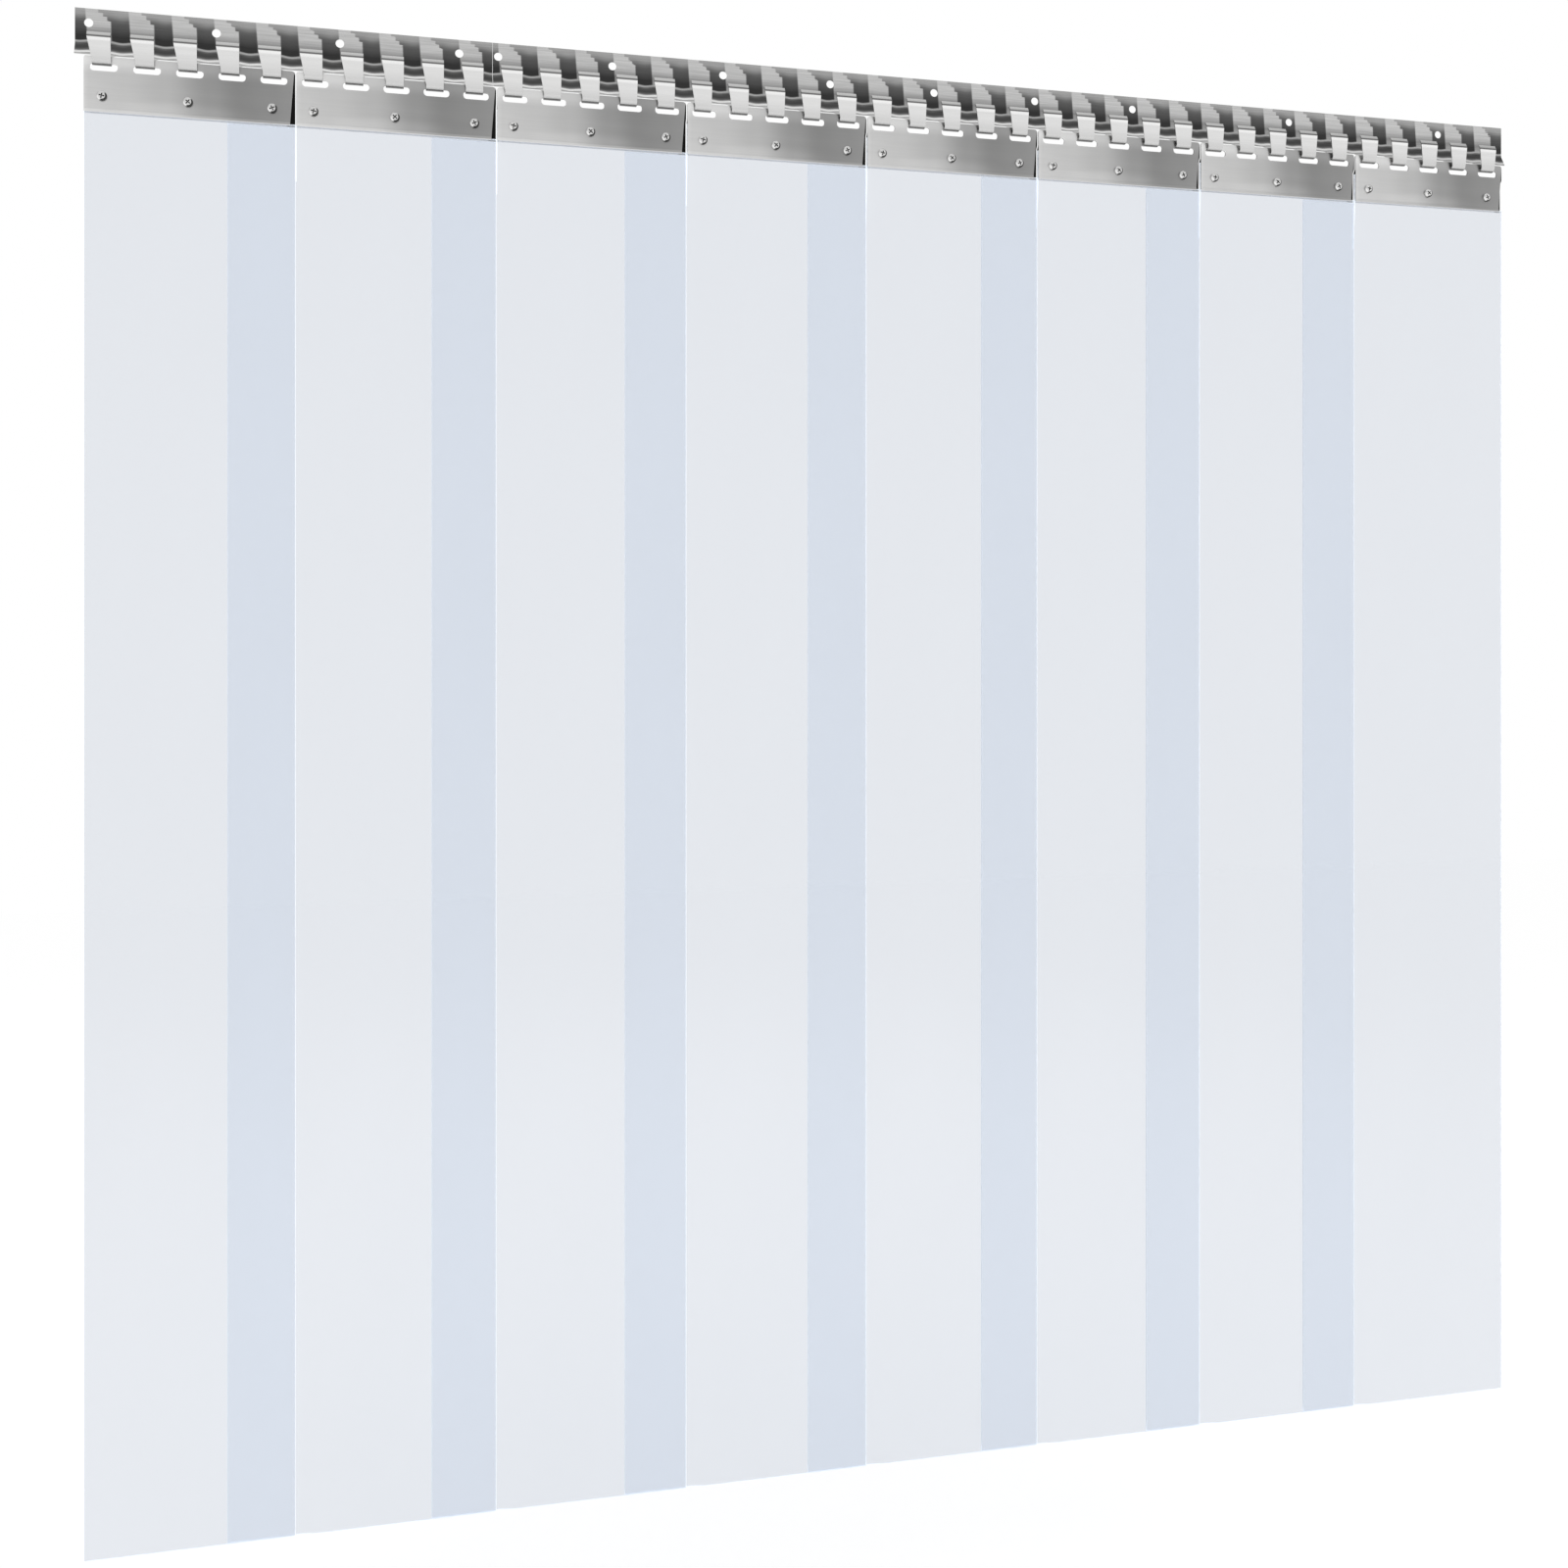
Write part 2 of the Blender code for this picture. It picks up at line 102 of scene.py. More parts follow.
# Screws and the bosses they are driven into. The heads are domed, and flat only in their middle.
SCREW_HOOKS = (1, 3, 5)
SCREW_NAMES = ("left", "middle", "right")
SCREW_DROP = 44.2 * MM
SHANK = 6 * MM
HEAD = 11 * MM
HEAD_HEIGHT = 3.4 * MM
HEAD_EDGE = 1.4 * MM
HEAD_FLAT = 6.4 * MM
TIP_LENGTH = 1.2 * MM
TIP_CHAMFER = 0.7 * MM
RECESS_LENGTH = 6.2 * MM
RECESS_WIDTH = 1.4 * MM
RECESS_DEPTH = 1.8 * MM
RECESS_TAPER = 0.55
RECESS_TURNS = (12 * DEG, 40 * DEG, 66 * DEG)
BOSS = 10 * MM
BOSS_HEIGHT = 3 * MM
BOSS_CHAMFER = 0.5 * MM

# Strips
STRIP = 3 * MM
STRIP_WIDTH = 300 * MM
STRIP_DROP = 1706 * MM
STRIP_TOP_MARGIN = 1 * MM
STRIP_SIDE_GAP = 0.8 * MM
STRIP_INSET = 6 * MM
INSET_COVER = 2 * MM
FLAP_MARGIN = 0.8 * MM
LAP_GAP = 0.8 * MM
LAP_BEND = 28 * MM
LAP_RELIEF = 60 * MM

# How finely the shapes are cut, and the material slot of the sheets' cut edges
OVERRUN = 1 * MM
SAME_PLACE = 0.001 * MM
CREASE_STEPS = 8
TROUGH_STEPS = 20
LIP_STEPS = 6
CORNER_STEPS = 6
NOTCH_STEPS = 8
BEND_STEPS = 14
HOLE_SIDES = 32
SCREW_SIDES = 40
EDGE_STEPS = 2
SHARP_ANGLE = 40 * DEG
MITRE_LIMIT = 2
CUT_EDGE = 1

# Rounding of the cut edges
RAIL_EDGE = 0.25 * MM
PLATE_EDGE = 0.2 * MM
STRIP_EDGE = 0.4 * MM

HOOKS = PLATES * HOOKS_PER_PLATE
PLATE_PITCH = HOOKS_PER_PLATE * HOOK_PITCH
CURTAIN_WIDTH = PLATES * PLATE_PITCH
LEFT = -CURTAIN_WIDTH / 2


# Flat patterns


def arc(centre, radius, start, turn, steps):
    """Points of an arc in a flat pattern, both ends included."""
    angles = [start + turn * step / steps for step in range(steps + 1)]
    return [(centre[0] + radius * math.cos(a), centre[1] + radius * math.sin(a)) for a in angles]


def circle(centre, diameter, sides):
    return arc(centre, diameter / 2, 0, 2 * math.pi, sides)[:-1]


def rounded_box(left, right, bottom, top, upper, lower):
    """A box with one radius for its upper corners and another for its lower ones."""
    points = arc((right - upper, top - upper), upper, 0, 90 * DEG, CORNER_STEPS)
    points += arc((left + upper, top - upper), upper, 90 * DEG, 90 * DEG, CORNER_STEPS)
    points += arc((left + lower, bottom + lower), lower, 180 * DEG, 90 * DEG, CORNER_STEPS)
    points += arc((right - lower, bottom + lower), lower, 270 * DEG, 90 * DEG, CORNER_STEPS)
    return points


def mitre(before, point, after):
    """The vector that moves a corner of an outline by one unit to the right of its run."""
    first = (Vector(point) - Vector(before)).normalized()
    second = (Vector(after) - Vector(point)).normalized()
    normal = Vector((first.y + second.y, -first.x - second.x))
    if normal.length < SAME_PLACE:
        return Vector((first.y, -first.x))
    normal.normalize()
    share = max(1 / MITRE_LIMIT, normal.dot(Vector((second.y, -second.x))))
    return normal / share


def area(points):
    pairs = zip(points, points[1:] + points[:1])
    return sum(a[0] * b[1] - b[0] * a[1] for a, b in pairs) / 2


def moved_in(points, distance):
    """The outline with its edges moved towards its inside."""
    side = -distance if area(points) > 0 else distance
    ring = [points[-1], *points, points[0]]
    corners = zip(ring, ring[1:], ring[2:])
    return [tuple(Vector(b) + mitre(a, b, c) * side) for a, b, c in corners]


def flat_pattern(outline, holes, edge):
    """The pattern's flat faces in the XY plane, short of its cut edges by their rounding."""
    bm = bmesh.new()
    edges = []
    loops = [moved_in(outline, edge), *[moved_in(hole, -edge) for hole in holes]]
    for points in loops:
        verts = [bm.verts.new((x, along, 0)) for x, along in points]
        edges += [bm.edges.new(pair) for pair in zip(verts, verts[1:] + verts[:1])]
    bmesh.ops.triangle_fill(bm, edges=edges, use_beauty=True, normal=(0, 0, 1))
    bmesh.ops.recalc_face_normals(bm, faces=bm.faces[:])
    if bm.faces[:][0].normal.z < 0:
        bmesh.ops.reverse_faces(bm, faces=bm.faces[:])
    return bm


def score(bm, axis, places):
    """Cuts the pattern's faces along lines, so that it can bend there."""
    for place in places:
        normal = Vector((axis == 0, axis == 1, 0))
        geometry = bm.verts[:] + bm.edges[:] + bm.faces[:]
        bmesh.ops.bisect_plane(
            bm, geom=geometry, plane_co=normal * place, plane_no=normal, dist=SAME_PLACE
        )


def cut_edges(pattern):
    """Vertices on the cut edges: what follows each, and the vector that leads out of the pattern."""
    after = {}
    before = {}
    for face in pattern.faces:
        for loop in face.loops:
            if len(loop.edge.link_faces) == 1:
                after[loop.vert] = loop.link_loop_next.vert
                before[loop.link_loop_next.vert] = loop.vert
    at = {vert: vert.co.to_2d() for vert in after}
    return after, {vert: mitre(at[before[vert]], at[vert], at[after[vert]]) for vert in after}


def edge_profile(thickness, edge):
    """(distance out, depth) of the rings of a rounded cut edge, from one face to the other."""
    angles = [90 * DEG * step / EDGE_STEPS for step in range(EDGE_STEPS + 1)]
    near = [(edge * math.sin(a), edge * (1 - math.cos(a))) for a in angles]
    return near + [(out, thickness - depth) for out, depth in reversed(near)]


def bend(pattern, place, thickness, edge):
    """The sheet whose pattern point (x, along) goes to place(x, along, depth).

    Its vertices keep their (x, along, depth) in the attribute "sheet", which the materials read.
    """
    bm = bmesh.new()
    sheet = bm.verts.layers.float_vector.new("sheet")

    def vertex(x, along, depth):
        made = bm.verts.new(place(x, along, depth))
        made[sheet] = (x, along, depth)
        return made

    after, directions = cut_edges(pattern)
    profile = edge_profile(thickness, edge)
    near = {vert: vertex(vert.co.x, vert.co.y, 0) for vert in pattern.verts}
    far = {vert: vertex(vert.co.x, vert.co.y, thickness) for vert in pattern.verts}
    rings = {}
    for vert, direction in directions.items():
        flat = vert.co.to_2d()
        between = [vertex(*(flat + direction * out), depth) for out, depth in profile[1:-1]]
        rings[vert] = [near[vert], *between, far[vert]]
    for face in pattern.faces:
        bm.faces.new([near[vert] for vert in reversed(face.verts)])
        bm.faces.new([far[vert] for vert in face.verts])
    for vert, follower in after.items():
        first = rings[vert]
        second = rings[follower]
        for index in range(len(profile) - 1):
            other = index + 1
            cut = bm.faces.new([first[index], second[index], second[other], first[other]])
            cut.material_index = CUT_EDGE
    pattern.free()
    return bm


def mesh_from(bm, name, finishes):
    bmesh.ops.recalc_face_normals(bm, faces=bm.faces[:])
    mesh = bpy.data.meshes.new(name)
    bm.to_mesh(mesh)
    bm.free()
    for finish in finishes:
        mesh.materials.append(finish)
    mesh.shade_smooth()
    mesh.set_sharp_from_angle(angle=SHARP_ANGLE)
    return mesh


def add_object(name, data, location=(0, 0, 0)):
    made = bpy.data.objects.new(name, data)
    bpy.context.scene.collection.objects.link(made)
    made.location = location
    return made


def add_piece(name, mesh, body, node, location=(0, 0, 0)):
    """A piece that rides on a body and stands for a CAD node."""
    made = add_object(name, mesh, location)
    weighted = made.modifiers.new("flat faces", "WEIGHTED_NORMAL")
    weighted.keep_sharp = True
    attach(made, body)
    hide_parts(node)
    return made


# Comb rail. Its sheet is a row of spans, each straight or bent by its turn, from (y, z) and a heading.

Span = namedtuple("Span", "start length turn steps point angle")


def heading(angle):
    """Unit (y, z) along the rail's sheet: 0 is down, 90 degrees is forward and 180 degrees is up."""
    return Vector((-math.sin(angle), -math.cos(angle)))


def outward(angle):
    """Unit (y, z) through the sheet's thickness, away from the hollow of its bends."""
    return Vector((math.cos(angle), -math.sin(angle)))


def rail_pieces():
    """(name, length, turn, steps) of each span, from the top of the flange to the lip's tip."""
    crease_setback = CREASE_RADIUS * math.tan(CREASE_ANGLE / 2)
    trough_turn = math.pi - TONGUE_LEAN - CREASE_ANGLE
    return [
        ("flange", FLANGE_HEIGHT - crease_setback, 0, 1),
        ("crease", CREASE_RADIUS * CREASE_ANGLE, CREASE_ANGLE, CREASE_STEPS),
        ("ledge", LEDGE_LENGTH, 0, 1),
        ("trough", TROUGH_RADIUS * trough_turn, trough_turn, TROUGH_STEPS),
        ("tongue", TONGUE_LENGTH, 0, 1),
        ("lip bend", LIP_RADIUS * LIP_ANGLE, LIP_ANGLE, LIP_STEPS),
        ("lip", LIP_LENGTH, 0, 1),
    ]


def advance(span, distance):
    """The (y, z) point and the heading a distance into a span."""
    if not span.turn:
        return span.point + heading(span.angle) * distance, span.angle
    radius = span.length / span.turn
    angle = span.angle + distance / radius
    return span.point + (outward(angle) - outward(span.angle)) * radius, angle


def rail_spans():
    spans = {}
    along = 0
    point = Vector((-RAIL_SHEET, RAIL_TOP))
    angle = 0
    for name, length, turn, steps in rail_pieces():
        spans[name] = Span(along, length, turn, steps, point, angle)
        point, angle = advance(spans[name], length)
        along += length
    return spans


RAIL = rail_spans()


def start_of(name):
    return RAIL[name].start


def end_of(name):
    return RAIL[name].start + RAIL[name].length


def on_rail(x, along, depth):
    """World place of a point of the rail's flat pattern."""
    span = [span for span in RAIL.values() if span.start <= along + SAME_PLACE][-1]
    place, angle = advance(span, along - span.start)
    place += outward(angle) * depth
    return x, place[0], place[1]


def trough_centre():
    """(y, z) of the line that the clamps swing on, the middle of the hooks' round bottom."""
    trough = RAIL["trough"]
    return trough.point - outward(trough.angle) * TROUGH_RADIUS


AXIS_Y, AXIS_Z = trough_centre()


def hook_x(hook):
    """World x of a hook's root, with hooks counted from 1 at the left."""
    return LEFT + FIRST_HOOK + (hook - 1) * HOOK_PITCH


def tooth_outline(centre):
    """One hook of the flat pattern, with the rounded inner corners of the notches beside it."""
    left = centre - TOOTH_ROOT / 2
    right = centre + TOOTH_ROOT / 2
    corner = start_of("ledge") + LEDGE_SOLID + NOTCH_RADIUS
    left_corner = (left - NOTCH_RADIUS, corner)
    right_corner = (right + NOTCH_RADIUS, corner)
    return [
        *arc(left_corner, NOTCH_RADIUS, -90 * DEG, 90 * DEG, NOTCH_STEPS),
        (left, start_of("tongue")),
        (left - TOOTH_TAPER, end_of("tongue")),
        (left - TOOTH_TAPER, end_of("lip")),
        (right, end_of("lip")),
        *arc(right_corner, NOTCH_RADIUS, 180 * DEG, 90 * DEG, NOTCH_STEPS),
    ]


def rail_section(name, left, right, hooks, finish):
    notch = start_of("ledge") + LEDGE_SOLID
    outline = [(left, 0), (left, notch)]
    for hook in hooks:
        outline += tooth_outline(hook_x(hook))
    outline += [(right, notch), (right, 0)]
    drilled = [hook_x(hook) - WALL_HOLE_SHIFT for hook in WALL_HOLE_HOOKS if hook in hooks]
    holes = [circle((x, RAIL_TOP), WALL_HOLE, HOLE_SIDES) for x in drilled]
    pattern = flat_pattern(outline, holes, RAIL_EDGE)
    for span in RAIL.values():
        steps = range(1, span.steps + 1)
        score(pattern, 1, [span.start + span.length * step / span.steps for step in steps])
    mesh = mesh_from(bend(pattern, on_rail, RAIL_SHEET, RAIL_EDGE), name, [finish, finish])
    add_piece(f"{name}_looks", mesh, "rail", name)


def build_rail(finish):
    joint = hook_x(LEFT_SECTION_HOOKS) + HOOK_PITCH / 2
    left_end = LEFT - RAIL_LEFT_END
    right_end = LEFT + CURTAIN_WIDTH + RAIL_RIGHT_END
    left_hooks = range(1, LEFT_SECTION_HOOKS + 1)
    right_hooks = range(LEFT_SECTION_HOOKS + 1, HOOKS + 1)
    rail_section("rail_left", left_end, joint - RAIL_JOINT_GAP / 2, left_hooks, finish)
    rail_section("rail_right", joint + RAIL_JOINT_GAP / 2, right_end, right_hooks, finish)


# Clamp plates. Their x runs from the clamp's left end, and y and z from the line they swing on.

BRIDGE_DEPTH = 2 * PLATE_SHEET + CLEARANCE
FRONT_FACE = -BRIDGE_DEPTH / 2
STRIP_FACE = FRONT_FACE + PLATE_SHEET + CLEARANCE
REAR_TOP_FACE = BRIDGE_DEPTH / 2 - PLATE_SHEET
REAR_FACE = STRIP_FACE + STRIP + CLEARANCE
PLATE_TOP = BRIDGE_HEIGHT / 2
PLATE_BOTTOM = PLATE_TOP - PLATE_HEIGHT
SLOT_BOTTOM = -BRIDGE_HEIGHT / 2 - SLOT_HEIGHT
JOGGLE_TOP = SLOT_BOTTOM - JOGGLE_DROP
JOGGLE_BOTTOM = JOGGLE_TOP - JOGGLE_HEIGHT
HEM_TOP = PLATE_BOTTOM + HEM_HEIGHT
SCREW_HEIGHT = PLATE_TOP - SCREW_DROP


def ramp(value, start, end):
    """0 before start, 1 past end, and straight between them."""
    return min(1, max(0, (value - start) / (end - start)))


def ease(share):
    """A smooth step from 0 to 1."""
    return (1 - math.cos(math.pi * share)) / 2


def past(distance, rounding):
    """How far a distance is past 0, with the corner there rounded."""
    if distance <= -rounding:
        return 0
    if distance >= rounding:
        return distance
    return (distance + rounding) ** 2 / (4 * rounding)


def screw_places():
    return [FIRST_HOOK + (hook - 1) * HOOK_PITCH for hook in SCREW_HOOKS]


def hem(z):
    """How far the hem stands out at this height."""
    return past(HEM_TOP - z, HEM_ROUNDING) * HEM_FLARE / HEM_HEIGHT


def on_front_plate(x, z, depth):
    return x, FRONT_FACE - hem(z) + depth, z


def on_rear_plate(x, z, depth):
    dropped = past(JOGGLE_TOP - z, JOGGLE_ROUNDING) - past(JOGGLE_BOTTOM - z, JOGGLE_ROUNDING)
    joggle = (REAR_FACE - REAR_TOP_FACE) * dropped / JOGGLE_HEIGHT
    return x, REAR_TOP_FACE + joggle + hem(z) + depth, z


def slots():
    half = SLOT_WIDTH / 2
    top = -BRIDGE_HEIGHT / 2
    corners = (SLOT_UPPER_CORNER, SLOT_LOWER_CORNER)
    made = []
    for hook in range(HOOKS_PER_PLATE):
        x = FIRST_HOOK + SLOT_SHIFT + hook * HOOK_PITCH
        made.append(rounded_box(x - half, x + half, SLOT_BOTTOM, top, *corners))
    return made


def plate_outline(setback, taper):
    left = PLATE_GAP / 2
    right = PLATE_PITCH - PLATE_GAP / 2 - setback
    inner = PLATE_TOP - PLATE_CORNER
    return [
        (left, PLATE_BOTTOM),
        (right - taper, PLATE_BOTTOM),
        *arc((right - PLATE_CORNER, inner), PLATE_CORNER, 0, 90 * DEG, CORNER_STEPS),
        *arc((left + PLATE_CORNER, inner), PLATE_CORNER, 90 * DEG, 90 * DEG, CORNER_STEPS),
    ]


def shank_holes():
    width = SHANK + 2 * CLEARANCE
    return [circle((x, SCREW_HEIGHT), width, HOLE_SIDES) for x in screw_places()]


def around(centre, half, steps):
    """Evenly spaced places from half before a centre to half past it."""
    return [centre + half * (2 * step / steps - 1) for step in range(steps + 1)]


def front_plate_mesh(finish):
    outline = plate_outline(FRONT_PLATE_SETBACK, FRONT_PLATE_TAPER)
    pattern = flat_pattern(outline, slots() + shank_holes(), PLATE_EDGE)
    score(pattern, 1, around(HEM_TOP, HEM_ROUNDING, CORNER_STEPS))
    bm = bend(pattern, on_front_plate, PLATE_SHEET, PLATE_EDGE)
    return mesh_from(bm, "front_plate", [finish, finish])


def turned(bm, profile, sides, centre=(0, 0)):
    """Adds a body turned about Y from (radius, y) points, around (x, z)."""
    rings = []
    for radius, y in profile:
        ring = circle(centre, 2 * radius, sides)
        rings.append([bm.verts.new((x, y, z)) for x, z in ring])
    for ring, after in zip(rings, rings[1:]):
        for index in range(sides):
            other = (index + 1) % sides
            bm.faces.new([ring[index], ring[other], after[other], after[index]])
    bm.faces.new(rings[0])
    bm.faces.new(rings[-1][::-1])


def boss_mesh(finish):
    """The three bosses, from inside the rear plate's sheet to their ends."""
    bm = bmesh.new()
    start = REAR_FACE + PLATE_SHEET / 2
    end = REAR_FACE + PLATE_SHEET + BOSS_HEIGHT
    radius = BOSS / 2
    for x in screw_places():
        profile = [(radius, start), (radius, end - BOSS_CHAMFER), (radius - BOSS_CHAMFER, end)]
        turned(bm, profile, HOLE_SIDES, (x, SCREW_HEIGHT))
    return mesh_from(bm, "bosses", [finish])


def shank_cutter_mesh(finish):
    bm = bmesh.new()
    start = REAR_FACE - OVERRUN
    end = REAR_FACE + PLATE_SHEET + BOSS_HEIGHT + OVERRUN
    radius = SHANK / 2 + CLEARANCE
    for x in screw_places():
        turned(bm, [(radius, start), (radius, end)], HOLE_SIDES, (x, SCREW_HEIGHT))
    return mesh_from(bm, "shank_holes", [finish])


def with_booleans(mesh, steps):
    """The mesh after each (operation, other mesh) in turn."""
    base = add_object("base", mesh)
    helpers = []
    for operation, other in steps:
        helper = add_object("helper", other)
        helpers.append(helper)
        modifier = base.modifiers.new(operation, "BOOLEAN")
        modifier.operation = operation
        modifier.object = helper
        modifier.solver = "EXACT"
    graph = bpy.context.evaluated_depsgraph_get()
    made = bpy.data.meshes.new_from_object(base.evaluated_get(graph))
    made.name = mesh.name
    for helper in [base, *helpers]:
        bpy.data.objects.remove(helper)
    made.shade_smooth()
    made.set_sharp_from_angle(angle=SHARP_ANGLE)
    return made


def rear_plate_mesh(finish):
    pattern = flat_pattern(plate_outline(0, 0), slots(), PLATE_EDGE)
    bends = [(JOGGLE_TOP, JOGGLE_ROUNDING), (JOGGLE_BOTTOM, JOGGLE_ROUNDING), (HEM_TOP, HEM_ROUNDING)]
    for place, rounding in bends:
        score(pattern, 1, around(place, rounding, CORNER_STEPS))
    bm = bend(pattern, on_rear_plate, PLATE_SHEET, PLATE_EDGE)
    sheet = mesh_from(bm, "rear_plate", [finish, finish])
    steps = [("UNION", boss_mesh(finish)), ("DIFFERENCE", shank_cutter_mesh(finish))]
    return with_booleans(sheet, steps)


# Screws, each about its own axis with y = 0 on the face of the front plate


def recess_mesh(length, width, turn, finish):
    """One bar of the cross in a screw's head, narrower at its bottom."""
    bm = bmesh.new()
    top = -CLEARANCE - HEAD_HEIGHT
    bmesh.ops.create_cube(bm, size=1)
    for vert in bm.verts:
        share = RECESS_TAPER if vert.co.y > 0 else 2 - RECESS_TAPER
        x = vert.co.x * length * share
        z = vert.co.z * width * share
        y = top + vert.co.y * 2 * RECESS_DEPTH
        vert.co = Matrix.Rotation(turn, 3, "Y") @ Vector((x, y, z))
    return mesh_from(bm, "recess", [finish])


def screw_mesh(turn, finish):
    under = -CLEARANCE
    tip = REAR_FACE - FRONT_FACE + PLATE_SHEET + BOSS_HEIGHT + TIP_LENGTH
    edge = HEAD / 2
    width = edge - HEAD_FLAT / 2
    height = HEAD_HEIGHT - HEAD_EDGE
    profile = []
    for step in range(CORNER_STEPS + 1):
        angle = 90 * DEG * step / CORNER_STEPS
        radius = edge - width * (1 - math.sin(angle))
        profile.append((radius, under - HEAD_EDGE - height * math.cos(angle)))
    shank = SHANK / 2
    profile += [(edge, under), (shank, under), (shank, tip - TIP_CHAMFER), (shank - TIP_CHAMFER, tip)]
    bm = bmesh.new()
    turned(bm, profile, SCREW_SIDES)
    body = mesh_from(bm, "screw", [finish])
    bars = [
        recess_mesh(RECESS_LENGTH, RECESS_WIDTH, turn, finish),
        recess_mesh(RECESS_WIDTH, RECESS_LENGTH, turn, finish),
    ]
    return with_booleans(body, [("DIFFERENCE", bar) for bar in bars])


# Strips

STRIP_TOP = JOGGLE_BOTTOM - STRIP_TOP_MARGIN
STRIP_BOTTOM = -STRIP_DROP - AXIS_Z
STRIP_LEFT = STRIP_SIDE_GAP / 2
STRIP_RIGHT = PLATE_PITCH - STRIP_SIDE_GAP / 2
FLAP_LEFT = STRIP_RIGHT - STRIP_WIDTH
FLAP_TOP = PLATE_BOTTOM - FLAP_MARGIN
LAP = STRIP + LAP_GAP


def on_strip(x, z, depth):
    """The flap lies behind the strip on its left, and the sheet bends forward out of it."""
    back = 1 - ease(ramp(x, STRIP_LEFT, STRIP_LEFT + LAP_BEND))
    if x > STRIP_LEFT - STRIP_SIDE_GAP / 2:
        back *= ease(ramp(z, FLAP_TOP, FLAP_TOP - LAP_RELIEF))
    return x, STRIP_FACE + LAP * back + depth, z


def on_first_strip(x, z, depth):
    return x, STRIP_FACE + depth, z


def strip_outline(flap):
    """The clamped top is narrower at its right, so that the plates cover it."""
    top_right = STRIP_RIGHT - STRIP_INSET
    shoulder = PLATE_BOTTOM + INSET_COVER
    points = [
        (STRIP_LEFT, STRIP_TOP),
        (top_right, STRIP_TOP),
        (top_right, shoulder),
        (STRIP_RIGHT, shoulder),
        (STRIP_RIGHT, STRIP_BOTTOM),
    ]
    if not flap:
        return [*points, (STRIP_LEFT, STRIP_BOTTOM)]
    relief_end = FLAP_TOP - LAP_RELIEF
    flap_right = STRIP_LEFT - STRIP_SIDE_GAP
    return [
        *points,
        (FLAP_LEFT, STRIP_BOTTOM),
        (FLAP_LEFT, FLAP_TOP),
        (flap_right, FLAP_TOP),
        (flap_right, relief_end),
        (STRIP_LEFT, relief_end),
    ]


def strip_mesh(name, flap, finishes):
    pattern = flat_pattern(strip_outline(flap), shank_holes(), STRIP_EDGE)
    if flap:
        steps = range(BEND_STEPS + 1)
        score(pattern, 0, [STRIP_LEFT + LAP_BEND * step / BEND_STEPS for step in steps])
        score(pattern, 1, [FLAP_TOP - LAP_RELIEF * step / BEND_STEPS for step in steps])
    place = on_strip if flap else on_first_strip
    return mesh_from(bend(pattern, place, STRIP, STRIP_EDGE), name, finishes)


def build_clamps(finishes):
    front = front_plate_mesh(finishes["front_plate"])
    rear = rear_plate_mesh(finishes["rear_plate"])
    screws = [screw_mesh(turn, finishes["screw"]) for turn in RECESS_TURNS]
    pvc = [finishes["pvc"], finishes["pvc_edge"]]
    first_strip = strip_mesh("first_strip", False, pvc)
    lapped_strip = strip_mesh("lapped_strip", True, pvc)
    for index in range(PLATES):
        number = index + 1
        body = f"clamp_{number}"
        pivot = Vector((LEFT + index * PLATE_PITCH, AXIS_Y, AXIS_Z))
        strip = lapped_strip if index else first_strip
        sheets = [
            ("front_plate", front, "plate_steel"),
            ("rear_plate", rear, "plate_steel"),
            ("strip", strip, "clear_pvc"),
        ]
        for kind, mesh, slot in sheets:
            node = f"{kind}_{number}"
            add_piece(f"{node}_looks", mesh, body, node, pivot)
        for screw, name, x in zip(screws, SCREW_NAMES, screw_places()):
            node = f"screw_{number}_{name}"
            place = pivot + Vector((x, FRONT_FACE, SCREW_HEIGHT))
            add_piece(f"{node}_looks", screw, body, node, place)


# Materials


